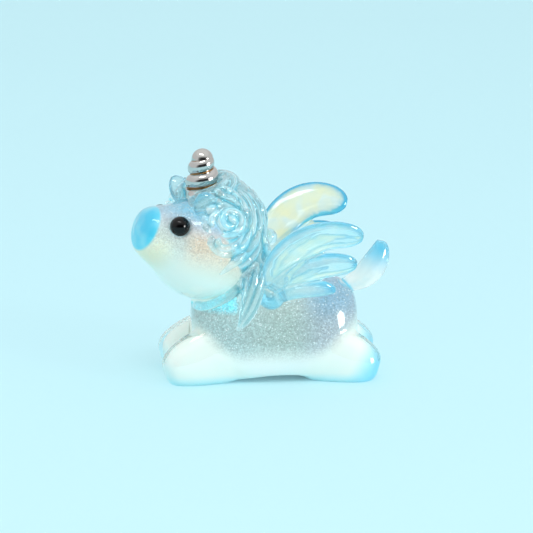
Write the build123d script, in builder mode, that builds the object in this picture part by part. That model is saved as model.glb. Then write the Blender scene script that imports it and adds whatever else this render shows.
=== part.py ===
from build123d import *
import os
from math import atan, cos, degrees, radians, sin, tau

# A lying winged unicorn, cast in tinted resin as an assembly of bonded pieces, in millimetres.
# It faces -X with its left side towards -Y, and the origin lies on the floor under its middle.

# Bonded joints
BOND_CLEARANCE = 0.04
CUT_OVERRUN = 3.0

# Torso: a barrel skinned through rounded sections from the chest to the rump, with a shallow belly arch
CHEST_X = -8.4
TORSO_LENGTH = 20.0
TORSO_HALF_WIDTH = 5.4
TORSO_HEIGHT = 12.3
CROWN_POWER = 2.4
FLOOR_POWER = 4.0
SECTION_POINTS = 16
CROWN_TAPER_SHARE = 0.12
BELLY_CHORD = 12.6
BELLY_RISE = 0.95
BELLY_SHARE = 0.54
# (station, half width, floor, crown), as shares of the length, the half width and the height
TORSO_SHARES = (
    (0.000, 0.34, 0.30, 0.62),
    (0.050, 0.72, 0.14, 0.82),
    (0.150, 0.94, 0.02, 0.95),
    (0.300, 1.00, 0.00, 1.00),
    (0.520, 0.97, 0.00, 0.96),
    (0.740, 1.00, 0.00, 1.00),
    (0.880, 0.92, 0.02, 0.96),
    (0.960, 0.72, 0.14, 0.86),
    (1.000, 0.38, 0.30, 0.70),
)

# Legs: flat-soled, stretched fore and aft, each ending in a hoof of its own pour
FRONT_LEG_REACH = 6.55
FRONT_LEG_SPLAY = 0.7
HIND_LEG_REACH = 6.45
HIND_LEG_SPLAY = 1.0
LEG_HALF_WIDTH = 2.3
LEG_HALF_HEIGHT = 3.8
LEG_PROUD = 0.25
HOOF_LENGTH = 1.7
# Shoulder and hip along the torso's length, then the lift of a leg's root and of its toe in its half heights
SHOULDER_SHARE = 0.155
HIP_SHARE = 0.795
LEG_LIFT_SHARES = (0.87, 0.42)
# (station, half width, half height), as shares of the leg's length and half sizes
LEG_SHARES = (
    (0.00, 0.95, 1.00),
    (0.40, 1.00, 0.94),
    (0.64, 1.00, 0.80),
    (0.87, 0.82, 0.58),
    (1.00, 0.24, 0.16),
)

# Head: a round skull drawn out to the muzzle along a raised axis, turned a little to the left
HEAD_SETBACK = 1.53
HEAD_SINK = 2.76
HEAD_TURN = 18.0
HEAD_PITCH = 19.0
SKULL_RADIUS = 6.3
MUZZLE_REACH = 9.2
MUZZLE_LENGTH = 1.3
MUZZLE_JOINT_PITCH = 24.0
NECK_PEG_RADIUS = 1.5
NECK_PEG_DEPTH = 2.0
# (station, radius, drop): stations behind the skull's centre are shares of its radius, those before it of the
# muzzle's reach, and the other two are shares of the skull's radius
HEAD_SHARES = (
    (-0.980, 0.20, 0.00),
    (-0.800, 0.60, 0.00),
    (-0.400, 0.92, 0.00),
    (0.000, 1.00, 0.00),
    (0.250, 0.935, 0.00),
    (0.480, 0.745, 0.01),
    (0.680, 0.580, -0.01),
    (0.860, 0.465, -0.04),
    (0.960, 0.300, -0.05),
    (1.000, 0.090, -0.05),
)

# Eyes: black beads sunk in round sockets
EYE_RADIUS = 1.2
EYE_STATION_SHARE = 0.56
EYE_LIFT = 34.0
EYE_DEPTH = 0.45

# Horn: a plated cone of coiled rope on a round skirt, pegged into the skull
HORN_SINK = 0.2
HORN_SKIRT_RADIUS = 2.05
HORN_SKIRT_HEIGHT = 1.42
HORN_PITCH = 1.35
HORN_TURNS = 2.5
HORN_BALL_RADIUS = 1.2
HORN_PEG_RADIUS = 0.9
HORN_PEG_DEPTH = 2.2
# The rope in pitches, then its inset from the rim of the skirt, its top turn, the inset of the core and the
# rounded ends in rope radii, and how far the ball stands out towards the end of the rope
HORN_ROPE_SHARE = 0.470
HORN_INSET_SHARE = 1.15
HORN_TOP_SHARE = 1.16
HORN_CORE_SHARE = 0.35
ROPE_END_SHARE = 1.04
HORN_BALL_SHARE = 0.45

# Mane: a cap over the back of the skull behind a slanted hairline, down to the withers
MANE_TOP_COVER = 1.8
MANE_SIDE_COVER = 0.4
MANE_BACK_COVER = 0.85
MANE_BACK = 1.4
MANE_DROP_SHARE = 0.95
HAIRLINE_BACK = 1.6
HAIRLINE_TILT = 25.0
# (station, setback, half depth, half width), as shares of the mane's height and of its half depth and width
MANE_SHARES = (
    (0.000, 0.44, 0.52, 0.63),
    (0.156, 0.23, 0.78, 0.81),
    (0.370, 0.03, 0.99, 0.985),
    (0.580, 0.00, 1.00, 1.00),
    (0.760, 0.01, 0.90, 0.88),
    (0.910, 0.05, 0.71, 0.66),
    (1.000, 0.08, 0.26, 0.20),
)

# Strands: ridges of hair over both sides of the mane, each thinning from its middle to its root and its tip
STRAND_RADIUS = 0.62
STRAND_ROOT_SHARE = 0.5
STRAND_TIP_SHARE = 0.32
# (turn from the nape, rise, stand-off) of the stations of each strand, from root to tip, as shares of a full turn,
# of the mane's height and of its half sizes there
STRAND_SHARES = (
    ((0.050, 0.940, 1.00), (0.040, 0.800, 1.00), (0.048, 0.610, 1.00), (0.036, 0.410, 1.00), (0.046, 0.210, 1.00)),
    ((0.100, 0.945, 1.00), (0.086, 0.800, 1.00), (0.080, 0.620, 1.00), (0.092, 0.450, 1.00), (0.078, 0.250, 1.00)),
    ((0.151, 0.931, 1.00), (0.128, 0.856, 1.00), (0.120, 0.760, 1.00), (0.131, 0.658, 1.00), (0.146, 0.559, 1.00)),
    ((0.190, 0.940, 1.00), (0.167, 0.870, 1.00), (0.161, 0.766, 1.00), (0.173, 0.666, 1.00), (0.194, 0.586, 1.00)),
    ((0.139, 0.622, 1.00), (0.170, 0.544, 1.00), (0.206, 0.475, 1.00), (0.244, 0.412, 1.00), (0.284, 0.343, 0.99)),
    ((0.141, 0.517, 1.00), (0.173, 0.455, 1.00), (0.207, 0.395, 1.00), (0.242, 0.340, 0.98)),
    ((0.144, 0.425, 1.00), (0.172, 0.365, 1.00), (0.202, 0.310, 1.00), (0.232, 0.262, 0.99)),
)

# Forelock: a twist of hair laid round the foot of the horn, open at the brow and higher behind
TWIST_HALF_WIDTH = 1.1
TWIST_HALF_HEIGHT = 1.25
TWIST_LIFT_SHARE = 0.48
TWIST_TILT = 15.0
# (turn round the horn from the brow, half width, half height): shares of a full turn and of the half sizes
TWIST_SHARES = (
    (0.10, 0.30, 0.40),
    (0.22, 0.80, 0.85),
    (0.36, 1.00, 1.00),
    (0.50, 1.00, 1.05),
    (0.64, 1.00, 1.00),
    (0.78, 0.80, 0.85),
    (0.90, 0.30, 0.40),
)

# Ears, set beside the forelock: the root's place in skull radii and the way the ear leans
EAR_ROOT_SHARES = (-0.103, -0.500, 0.794)
EAR_LEAN_SHARES = (-0.376, -0.439, 0.815)
EAR_LENGTH = 3.2
EAR_HALF_WIDTH = 1.25
EAR_HALF_THICKNESS = 0.6
# (station, half width, half thickness), as shares
EAR_SHARES = (
    (0.00, 0.75, 1.00),
    (0.40, 1.00, 1.00),
    (0.78, 0.76, 0.80),
    (1.00, 0.22, 0.30),
)

# Curls: a rosette of coiled hair on each side of the mane, in half turns that close in
# Its place is given in mane half depths, mane half widths and skull radii, then the way it faces
CURL_PLACE_SHARES = (0.19, -0.90, 0.57)
CURL_FACING_SHARES = (0.05, -0.92, 0.39)
CURL_RADIUS = 2.5
CURL_STEP = 0.66
CURL_HALF_TURNS = 3
CURL_ROPE_RADIUS = 0.6
CURL_PAD_DEPTH = 2.0

# Locks: one long tapering lock of hair down each flank
LOCK_HALF_WIDTH = 1.35
LOCK_HALF_THICKNESS = 0.9
# (behind the head's middle, out, up, half width, half thickness), as shares of the skull's radius, of the
# torso's half width and height, and of the lock's half sizes
LOCK_SHARES = (
    (0.868, 0.480, 1.285, 0.70, 0.80),
    (0.900, 0.926, 1.073, 1.00, 1.00),
    (0.837, 1.056, 0.846, 0.90, 0.90),
    (0.583, 1.037, 0.561, 0.16, 0.30),
)

# Nape curl: a bead of hair that stands off the back of the mane
NAPE_RADIUS = 1.1
# Its stand-off in its own radii, its shift in mane half widths and its rise in skull radii
NAPE_PLACE_SHARES = (0.77, -0.18, 0.11)

# Wings: three plump feathers fanned from a root boss on each shoulder, close behind the mane
WING_BEHIND_MANE = 0.72
# The root's place out and up, as shares of the torso's half width and height
WING_ROOT_SHARES = (-0.796, 0.878)
WING_TILT = 30.0
WING_SPAN = 11.4
WING_CHORD = 10.4
FEATHER_THICKNESS = 0.7
BOSS_RADIUS = 1.7
WING_PEG_RADIUS = 0.8
WING_PEG_DEPTH = 2.4
UPPER_HALF_WIDTH = 2.1
MIDDLE_HALF_WIDTH = 1.85
LOWER_HALF_WIDTH = 1.35
# Each feather's step out of the wing's plane in feather thicknesses, then (chord, span, width) along it
UPPER_STEP_SHARE = -0.36
MIDDLE_STEP_SHARE = 0.43
LOWER_STEP_SHARE = 1.07
UPPER_SHARES = (
    (0.03, 0.08, 0.60),
    (0.08, 0.40, 0.95),
    (0.26, 0.65, 1.15),
    (0.50, 0.81, 1.12),
    (0.75, 0.84, 1.00),
    (0.92, 0.81, 0.72),
    (1.00, 0.79, 0.25),
)
MIDDLE_SHARES = (
    (0.05, 0.06, 0.60),
    (0.24, 0.30, 0.95),
    (0.46, 0.42, 1.08),
    (0.70, 0.46, 1.00),
    (0.87, 0.46, 0.72),
    (0.95, 0.45, 0.25),
)
LOWER_SHARES = (
    (0.05, 0.02, 0.70),
    (0.22, 0.12, 0.92),
    (0.45, 0.16, 1.00),
    (0.61, 0.15, 0.78),
    (0.72, 0.12, 0.25),
)

# Tail: a plump flame that curls up from the rump
TAIL_ROOT_DEPTH = 1.6
TAIL_RUN = 4.4
TAIL_RISE = 5.6
TAIL_HALF_WIDTH = 1.6
TAIL_HALF_THICKNESS = 1.5
TAIL_PEG_RADIUS = 0.7
TAIL_PEG_DEPTH = 2.2
TAIL_HEIGHT_SHARE = 0.862
# (run, rise, half width, half thickness), as shares
TAIL_SHARES = (
    (0.000, 0.000, 0.55, 0.70),
    (0.300, 0.090, 0.72, 0.85),
    (0.610, 0.235, 0.96, 1.00),
    (0.860, 0.485, 1.00, 0.95),
    (1.000, 1.000, 0.20, 0.22),
)

os.makedirs("parts", exist_ok=True)

RUMP_X = CHEST_X + TORSO_LENGTH
HEAD_X = CHEST_X + HEAD_SETBACK
HEAD_Z = TORSO_HEIGHT - HEAD_SINK + SKULL_RADIUS
HEAD_FRAME = Plane(
    origin=(HEAD_X, 0, HEAD_Z),
    x_dir=(cos(radians(HEAD_TURN)), sin(radians(HEAD_TURN)), 0),
    z_dir=(0, 0, 1),
)


def skin_ellipses(stations):
    """Skin one solid of the open part through ellipses given as (plane, half width, half height)."""
    sections = []
    for plane, half_width, half_height in stations:
        with BuildSketch(plane) as section:
            Ellipse(half_width, half_height)
        sections.append(section.sketch)
    loft(sections=sections)


def planes_along(route, across):
    """Planes square to a route of points, each with its X axis as near to across as it can be."""
    points = [Vector(*point) for point in route]
    planes = []
    for index, point in enumerate(points):
        before = points[max(index - 1, 0)]
        after = points[min(index + 1, len(points) - 1)]
        ahead = (after - before).normalized()
        side = (across - ahead * ahead.dot(across)).normalized()
        planes.append(Plane(origin=point, x_dir=side, z_dir=ahead))
    return planes


def curl_rope(frame, radius, step, half_turns, rope_radius):
    """Sweep a round rope along half turns that close in on a frame's middle, in the open part."""
    with BuildLine(frame) as route:
        centre_x = 0
        for turn in range(half_turns):
            turn_radius = radius - turn * step
            CenterArc((centre_x, 0), turn_radius, 180 * (turn % 2), 180)
            centre_x += step if turn % 2 else -step
    rope_line = route.wire()
    with BuildSketch(Plane(origin=rope_line @ 0, z_dir=rope_line % 0)) as rope:
        Circle(rope_radius)
    sweep(sections=rope.sketch, path=rope_line)
    for end in (rope_line @ 0, rope_line @ 1):
        with Locations(end):
            Sphere(ROPE_END_SHARE * rope_radius)


def write(part, name):
    """Label a finished piece and write it as one node."""
    part.label = name
    export_step(part, f"parts/{name}.step")


def write_pair(part, name, about=Plane.XZ):
    """Write a left piece and its mirror image on the right."""
    write(part, f"left_{name}")
    with BuildPart() as right_piece:
        mirror(part, about=about)
    write(right_piece.part, f"right_{name}")


def torso_section(station, width, floor, crown):
    """One rounded section of the torso, squarer and wider at the floor than at the crown."""
    middle = (floor + crown) / 2 * TORSO_HEIGHT
    half_height = (crown - floor) / 2 * TORSO_HEIGHT
    outline = []
    for index in range(SECTION_POINTS):
        angle = tau * index / SECTION_POINTS
        power = 2 / (CROWN_POWER if sin(angle) > 0 else FLOOR_POWER)
        along = abs(cos(angle)) ** power * (1 if cos(angle) > 0 else -1)
        rise = abs(sin(angle)) ** power * (1 if sin(angle) > 0 else -1)
        half_width = width * TORSO_HALF_WIDTH * (1 - CROWN_TAPER_SHARE * rise)
        outline.append((half_width * along, half_height * rise))
    plane = Plane(origin=(CHEST_X + station * TORSO_LENGTH, 0, middle), x_dir=(0, 1, 0), z_dir=(1, 0, 0))
    with BuildSketch(plane) as section:
        with BuildLine():
            Spline(*outline, periodic=True)
        make_face()
    return section.sketch


def mirrored(point, side):
    """A left point, or its mirror image across the figurine's middle for the right side."""
    return Vector(point[0], point[1] * side, point[2])


def in_head(point):
    """A point of the head's own frame in the part's frame."""
    return HEAD_FRAME.from_local_coords(Vector(*point))


def head_direction(vector):
    """A direction of the head's own frame in the part's frame."""
    return in_head(vector) - HEAD_FRAME.origin


def head_radius(share):
    """The head's radius at a share of the muzzle's reach, between the rows of its table."""
    rows = [row for row in HEAD_SHARES if row[0] >= 0]
    for (start, start_radius, _), (end, end_radius, _) in zip(rows, rows[1:]):
        if start <= share <= end:
            part_way = (share - start) / (end - start)
            return SKULL_RADIUS * (start_radius + part_way * (end_radius - start_radius))
    raise ValueError(f"{share} is off the head")


def mane_point(turn, rise, stand_off):
    """A point of the mane's skin at a turn from the nape and a rise, moved off the skin by a share."""
    for lower, upper in zip(MANE_SHARES, MANE_SHARES[1:]):
        if lower[0] <= rise <= upper[0]:
            part_way = (rise - lower[0]) / (upper[0] - lower[0])
            _, setback, depth, width = [low + part_way * (high - low) for low, high in zip(lower, upper)]
            back = MANE_BACK + (setback + stand_off * depth * cos(tau * turn)) * mane_half_depth
            aside = -stand_off * width * mane_half_width * sin(tau * turn)
            return in_head((back, aside, mane_foot + rise * mane_height))
    raise ValueError(f"{rise} is off the mane")


SIDES = {"left": 1, "right": -1}
FROM_FLOOR = (Align.CENTER, Align.CENTER, Align.MIN)
FROM_TOP = (Align.CENTER, Align.CENTER, Align.MAX)
HEAD_AHEAD = head_direction((-cos(radians(HEAD_PITCH)), 0, sin(radians(HEAD_PITCH))))
HEAD_ABOVE = head_direction((sin(radians(HEAD_PITCH)), 0, cos(radians(HEAD_PITCH))))
HEAD_RIGHT = head_direction((0, 1, 0))
HEAD_MIDDLE = Plane(origin=HEAD_FRAME.origin, x_dir=HEAD_FRAME.x_dir, z_dir=HEAD_RIGHT)

# Plain head form: the skull and the muzzle in one skin
head_stations = []
for share, radius_share, drop_share in HEAD_SHARES:
    reach = MUZZLE_REACH if share > 0 else SKULL_RADIUS
    centre = HEAD_FRAME.origin + HEAD_AHEAD * (share * reach) - HEAD_ABOVE * (drop_share * SKULL_RADIUS)
    radius = radius_share * SKULL_RADIUS
    head_stations.append((Plane(origin=centre, x_dir=HEAD_RIGHT, z_dir=HEAD_AHEAD), radius, radius))

with BuildPart() as head_form:
    skin_ellipses(head_stations)

# Plain torso form, before anything is let into it
belly_radius = (BELLY_CHORD ** 2 / 4 + BELLY_RISE ** 2) / (2 * BELLY_RISE)
belly_x = CHEST_X + BELLY_SHARE * TORSO_LENGTH
belly_arch = Plane(origin=(belly_x, 0, BELLY_RISE - belly_radius), x_dir=(1, 0, 0), z_dir=(0, -1, 0))
with BuildPart() as torso_form:
    loft(sections=[torso_section(*row) for row in TORSO_SHARES])
    with Locations(belly_arch):
        Cylinder(belly_radius, 2 * (TORSO_HALF_WIDTH + CUT_OVERRUN), mode=Mode.SUBTRACT)

# Sizes and places that several pieces share
mane_half_width = SKULL_RADIUS + MANE_SIDE_COVER
mane_half_depth = SKULL_RADIUS + MANE_BACK_COVER - MANE_BACK
mane_foot = -MANE_DROP_SHARE * SKULL_RADIUS
mane_height = SKULL_RADIUS + MANE_TOP_COVER - mane_foot
neck_seat = Plane(origin=HEAD_FRAME.origin - Vector(0, 0, SKULL_RADIUS))
horn_seat = Plane(origin=in_head((0, 0, SKULL_RADIUS - HORN_SINK)))
horn_crown = horn_seat.offset(HORN_SKIRT_HEIGHT)
muzzle_joint = Plane(
    origin=HEAD_FRAME.origin + HEAD_AHEAD * (MUZZLE_REACH - MUZZLE_LENGTH),
    z_dir=(-cos(radians(MUZZLE_JOINT_PITCH)), 0, sin(radians(MUZZLE_JOINT_PITCH))),
)
tail_root = Vector(RUMP_X - TAIL_ROOT_DEPTH, 0, TAIL_HEIGHT_SHARE * TORSO_HEIGHT)
tail_route = [tail_root + Vector(run * TAIL_RUN, 0, rise * TAIL_RISE) for run, rise, _, _ in TAIL_SHARES]
tail_seat = Plane(origin=tail_route[1], z_dir=tail_route[0] - tail_route[1])
wing_out, wing_up = WING_ROOT_SHARES
wing_x = HEAD_X + MANE_BACK + mane_half_depth + WING_BEHIND_MANE
wing_root = (wing_x, wing_out * TORSO_HALF_WIDTH, wing_up * TORSO_HEIGHT)
wing_seats = {}
for side, sign in SIDES.items():
    outward = mirrored((0, -cos(radians(WING_TILT)), -sin(radians(WING_TILT))), sign)
    wing_seats[side] = Plane(origin=mirrored(wing_root, sign), x_dir=(1, 0, 0), z_dir=outward)

# Eyes: beads let into the head where its skin passes under them
eye_centres = {}
for side, sign in SIDES.items():
    out = HEAD_RIGHT * (-sign * cos(radians(EYE_LIFT))) + HEAD_ABOVE * sin(radians(EYE_LIFT))
    depth = head_radius(EYE_STATION_SHARE) - EYE_DEPTH
    eye_centres[side] = HEAD_FRAME.origin + HEAD_AHEAD * (EYE_STATION_SHARE * MUZZLE_REACH) + out * depth
    with BuildPart() as eye:
        with Locations(eye_centres[side]):
            Sphere(EYE_RADIUS)
    write(eye.part, f"{side}_eye")

# Muzzle: the blue pour in front of a flat joint
with BuildPart() as muzzle:
    add(head_form.part)
    split(bisect_by=muzzle_joint, keep=Keep.TOP)
write(muzzle.part, "muzzle")

# Head: the glitter pour behind that joint, with a neck peg, eye sockets and a seat for the horn
with BuildPart() as head:
    add(head_form.part)
    split(bisect_by=muzzle_joint, keep=Keep.BOTTOM)
    with Locations(neck_seat.offset(-NECK_PEG_DEPTH)):
        Cylinder(NECK_PEG_RADIUS, NECK_PEG_DEPTH + SKULL_RADIUS, align=FROM_FLOOR)
    with Locations(*eye_centres.values()):
        Sphere(EYE_RADIUS + BOND_CLEARANCE, mode=Mode.SUBTRACT)
    with Locations(horn_seat):
        Cylinder(HORN_SKIRT_RADIUS + BOND_CLEARANCE, CUT_OVERRUN, align=FROM_FLOOR, mode=Mode.SUBTRACT)
        Cylinder(
            HORN_PEG_RADIUS + BOND_CLEARANCE,
            HORN_PEG_DEPTH + BOND_CLEARANCE,
            align=FROM_TOP,
            mode=Mode.SUBTRACT,
        )
write(head.part, "head")

# Torso: the barrel with a round seat for the head and sockets for the pegs
with BuildPart() as torso:
    add(torso_form.part)
    add(head_form.part, mode=Mode.SUBTRACT)
    with Locations(neck_seat):
        Cylinder(
            NECK_PEG_RADIUS + BOND_CLEARANCE,
            2 * (NECK_PEG_DEPTH + BOND_CLEARANCE),
            mode=Mode.SUBTRACT,
        )
    with Locations(*wing_seats.values()):
        Cylinder(
            WING_PEG_RADIUS + BOND_CLEARANCE,
            2 * (WING_PEG_DEPTH + BOND_CLEARANCE),
            mode=Mode.SUBTRACT,
        )
    with Locations(tail_seat):
        Cylinder(
            TAIL_PEG_RADIUS + BOND_CLEARANCE,
            2 * (TAIL_PEG_DEPTH + BOND_CLEARANCE),
            mode=Mode.SUBTRACT,
        )
write(torso.part, "torso")

# Legs and hooves: one skin each, cut flat at the sole and parted square to the leg
leg_out = -(TORSO_HALF_WIDTH + LEG_PROUD - LEG_HALF_WIDTH)
root_lift, toe_lift = [share * LEG_HALF_HEIGHT for share in LEG_LIFT_SHARES]
for place, root_share, reach, splay in (
    ("front", SHOULDER_SHARE, -FRONT_LEG_REACH, FRONT_LEG_SPLAY),
    ("hind", HIP_SHARE, HIND_LEG_REACH, HIND_LEG_SPLAY),
):
    root_x = CHEST_X + root_share * TORSO_LENGTH
    for side, sign in SIDES.items():
        root = mirrored((root_x, leg_out, root_lift), sign)
        run = mirrored((root_x + reach, leg_out - splay, toe_lift), sign) - root
        leg_route = [root + run * share for share, _, _ in LEG_SHARES]
        hoof_joint = Plane(origin=root + run * (1 - HOOF_LENGTH / run.length), z_dir=run)
        with BuildPart() as leg_form:
            skin_ellipses(
                (plane, width_share * LEG_HALF_WIDTH, height_share * LEG_HALF_HEIGHT)
                for plane, (_, width_share, height_share) in zip(
                    planes_along(leg_route, Vector(0, 1, 0)), LEG_SHARES
                )
            )
            split(bisect_by=Plane.XY, keep=Keep.TOP)
            add(torso_form.part, mode=Mode.SUBTRACT)
        with BuildPart() as hoof:
            add(leg_form.part)
            split(bisect_by=hoof_joint, keep=Keep.TOP)
        with BuildPart() as leg:
            add(leg_form.part)
            split(bisect_by=hoof_joint, keep=Keep.BOTTOM)
        write(hoof.part, f"{place}_{side}_hoof")
        write(leg.part, f"{place}_{side}_leg")

# Horn: a round skirt, a core wound with rope and a ball tip, with its peg
rope_radius = HORN_ROPE_SHARE * HORN_PITCH
coil_radius = HORN_SKIRT_RADIUS - HORN_INSET_SHARE * rope_radius
coil_top_radius = HORN_TOP_SHARE * rope_radius
coil_height = HORN_TURNS * HORN_PITCH
coil_taper = degrees(atan((coil_radius - coil_top_radius) / coil_height))
core_inset = HORN_CORE_SHARE * rope_radius
with BuildLine() as coil:
    Helix(HORN_PITCH, coil_height, coil_radius, horn_crown.origin, horn_crown.z_dir, -coil_taper)
coil_line = coil.edges()[0]
coil_top = horn_crown.offset(coil_height).origin
with BuildPart() as horn:
    with Locations(horn_seat):
        Cylinder(HORN_SKIRT_RADIUS, HORN_SKIRT_HEIGHT, align=FROM_FLOOR)
        Cylinder(HORN_PEG_RADIUS, HORN_PEG_DEPTH, align=FROM_TOP)
    with Locations(horn_crown):
        Cone(coil_radius - core_inset, coil_top_radius - core_inset, coil_height, align=FROM_FLOOR)
    with Locations(coil_line @ 0):
        Sphere(ROPE_END_SHARE * rope_radius)
    with Locations(coil_top + (coil_line @ 1 - coil_top) * HORN_BALL_SHARE):
        Sphere(HORN_BALL_RADIUS)
    with BuildSketch(Plane(origin=coil_line @ 0, z_dir=coil_line % 0)):
        Circle(rope_radius)
    sweep(path=coil_line, is_frenet=True)
write(horn.part, "horn")

# Mane: a cap behind the hairline, fitted over the head and down on the torso
mane_stations = []
for share, setback_share, depth_share, width_share in MANE_SHARES:
    setback = MANE_BACK + setback_share * mane_half_depth
    origin = in_head((setback, 0, mane_foot + share * mane_height))
    plane = Plane(origin=origin, x_dir=HEAD_FRAME.x_dir, z_dir=HEAD_FRAME.z_dir)
    mane_stations.append((plane, depth_share * mane_half_depth, width_share * mane_half_width))
hairline = Plane(
    origin=in_head((HAIRLINE_BACK, 0, 0)),
    x_dir=HEAD_RIGHT,
    z_dir=head_direction((cos(radians(HAIRLINE_TILT)), 0, sin(radians(HAIRLINE_TILT)))),
)
with BuildPart() as mane_form:
    skin_ellipses(mane_stations)
    split(bisect_by=hairline, keep=Keep.TOP)
    for sign in SIDES.values():
        for stations in STRAND_SHARES:
            strand_route = [mane_point(sign * turn, rise, stand_off) for turn, rise, stand_off in stations]
            outward = strand_route[len(stations) // 2] - HEAD_FRAME.origin
            radii = [STRAND_RADIUS] * len(stations)
            radii[0], radii[-1] = STRAND_ROOT_SHARE * STRAND_RADIUS, STRAND_TIP_SHARE * STRAND_RADIUS
            skin_ellipses(zip(planes_along(strand_route, outward), radii, radii))
    add(head_form.part, mode=Mode.SUBTRACT)
    add(torso_form.part, mode=Mode.SUBTRACT)
with BuildPart() as mane:
    add(mane_form.part)
    with Locations(horn_seat):
        Cylinder(HORN_SKIRT_RADIUS + BOND_CLEARANCE, 2 * CUT_OVERRUN, mode=Mode.SUBTRACT)
write(mane.part, "mane")

# Forelock: a tapering twist of hair that lies clear round the horn's skirt
twist_radius = (HORN_SKIRT_RADIUS + BOND_CLEARANCE) + TWIST_HALF_WIDTH
twist_route = []
for share, _, _ in TWIST_SHARES:
    turn = tau * share
    back = -twist_radius * cos(turn)
    rise = SKULL_RADIUS + TWIST_LIFT_SHARE * TWIST_HALF_HEIGHT + back * sin(radians(TWIST_TILT))
    twist_route.append(in_head((back, -twist_radius * sin(turn), rise)))
with BuildPart() as forelock:
    skin_ellipses(
        (plane, height_share * TWIST_HALF_HEIGHT, width_share * TWIST_HALF_WIDTH)
        for plane, (_, width_share, height_share) in zip(
            planes_along(twist_route, Vector(0, 0, 1)), TWIST_SHARES
        )
    )
    for neighbour in (head_form, mane_form):
        add(neighbour.part, mode=Mode.SUBTRACT)
write(forelock.part, "forelock")

# Ears: leaves set into the hair beside the forelock
ear_root = Vector(*EAR_ROOT_SHARES) * SKULL_RADIUS
ear_run = Vector(*EAR_LEAN_SHARES) * EAR_LENGTH
ear_route = [in_head(ear_root + ear_run * share) for share, _, _ in EAR_SHARES]
ear_planes = planes_along(ear_route, HEAD_FRAME.x_dir)
with BuildPart() as ear:
    skin_ellipses(
        (plane, width_share * EAR_HALF_WIDTH, thickness_share * EAR_HALF_THICKNESS)
        for plane, (_, width_share, thickness_share) in zip(ear_planes, EAR_SHARES)
    )
    for neighbour in (head_form, mane_form, forelock):
        add(neighbour.part, mode=Mode.SUBTRACT)
write_pair(ear.part, "ear", HEAD_MIDDLE)

# Curls: a rosette of coiled rope on a round pad, bedded in the mane
curl_back, curl_out, curl_up = CURL_PLACE_SHARES
curl_place = in_head((curl_back * mane_half_depth, curl_out * mane_half_width, curl_up * SKULL_RADIUS))
curl_frame = Plane(origin=curl_place, x_dir=HEAD_FRAME.x_dir, z_dir=head_direction(CURL_FACING_SHARES))
curl_pad = Plane(origin=curl_place - curl_frame.x_dir * CURL_STEP, z_dir=curl_frame.z_dir)
with BuildPart() as curl:
    curl_rope(curl_frame, CURL_RADIUS, CURL_STEP, CURL_HALF_TURNS, CURL_ROPE_RADIUS)
    with Locations(curl_pad):
        Cylinder(CURL_RADIUS - CURL_STEP, CURL_PAD_DEPTH, align=FROM_TOP)
    for neighbour in (head_form, mane_form):
        add(neighbour.part, mode=Mode.SUBTRACT)
write_pair(curl.part, "curl", HEAD_MIDDLE)

# Nape curl: a bead of hair against the back of the mane
nape_off, nape_aside, nape_up = NAPE_PLACE_SHARES
nape_back = MANE_BACK + mane_half_depth + nape_off * NAPE_RADIUS
with BuildPart() as nape_curl:
    with Locations(in_head((nape_back, nape_aside * mane_half_width, nape_up * SKULL_RADIUS))):
        Sphere(NAPE_RADIUS)
    add(mane_form.part, mode=Mode.SUBTRACT)
write(nape_curl.part, "nape_curl")

# Locks: long tapering strands that lie down each flank
locks = {}
for side, sign in SIDES.items():
    lock_route = [
        mirrored((HEAD_X + back * SKULL_RADIUS, -out * TORSO_HALF_WIDTH, up * TORSO_HEIGHT), sign)
        for back, out, up, _, _ in LOCK_SHARES
    ]
    lock_planes = planes_along(lock_route, Vector(1, 0, 0))
    with BuildPart() as lock:
        skin_ellipses(
            (plane, width_share * LOCK_HALF_WIDTH, thickness_share * LOCK_HALF_THICKNESS)
            for plane, (_, _, _, width_share, thickness_share) in zip(lock_planes, LOCK_SHARES)
        )
        for neighbour in (head_form, torso_form, mane_form):
            add(neighbour.part, mode=Mode.SUBTRACT)
    locks[side] = lock
    write(lock.part, f"{side}_lock")

# Wings: three feathers on a root boss, pegged into the shoulder
for side, sign in SIDES.items():
    seat = wing_seats[side]
    span_axis = mirrored((0, -sin(radians(WING_TILT)), cos(radians(WING_TILT))), sign)
    with BuildPart() as wing:
        for half_width, step_share, shares in (
            (UPPER_HALF_WIDTH, UPPER_STEP_SHARE, UPPER_SHARES),
            (MIDDLE_HALF_WIDTH, MIDDLE_STEP_SHARE, MIDDLE_SHARES),
            (LOWER_HALF_WIDTH, LOWER_STEP_SHARE, LOWER_SHARES),
        ):
            root = seat.origin + seat.z_dir * (step_share * FEATHER_THICKNESS)
            route = [
                root + Vector(1, 0, 0) * (chord * WING_CHORD) + span_axis * (span * WING_SPAN)
                for chord, span, _ in shares
            ]
            skin_ellipses(
                (plane, FEATHER_THICKNESS * width_share ** 0.5, width_share * half_width)
                for plane, (_, _, width_share) in zip(planes_along(route, seat.z_dir), shares)
            )
        with Locations(seat):
            Sphere(BOSS_RADIUS)
        for neighbour in (torso_form, mane_form, locks[side]):
            add(neighbour.part, mode=Mode.SUBTRACT)
        with Locations(seat):
            Cylinder(WING_PEG_RADIUS, WING_PEG_DEPTH, align=FROM_TOP)
    write(wing.part, f"{side}_wing")

# Tail: a flame of resin, pegged into the rump
with BuildPart() as tail:
    skin_ellipses(
        (plane, width_share * TAIL_HALF_WIDTH, thickness_share * TAIL_HALF_THICKNESS)
        for plane, (_, _, width_share, thickness_share) in zip(
            planes_along(tail_route, Vector(1, 0, 1)), TAIL_SHARES
        )
    )
    add(torso_form.part, mode=Mode.SUBTRACT)
    with Locations(tail_seat):
        Cylinder(TAIL_PEG_RADIUS, TAIL_PEG_DEPTH, align=FROM_FLOOR)
write(tail.part, "tail")
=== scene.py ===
"""Looks of a lying winged unicorn figurine: tinted cast resin, clear hair and wings, a plated horn."""
import logging
import math
from dataclasses import dataclass, field
from enum import Enum
from typing import Iterable, Optional, Sequence, Union

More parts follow.
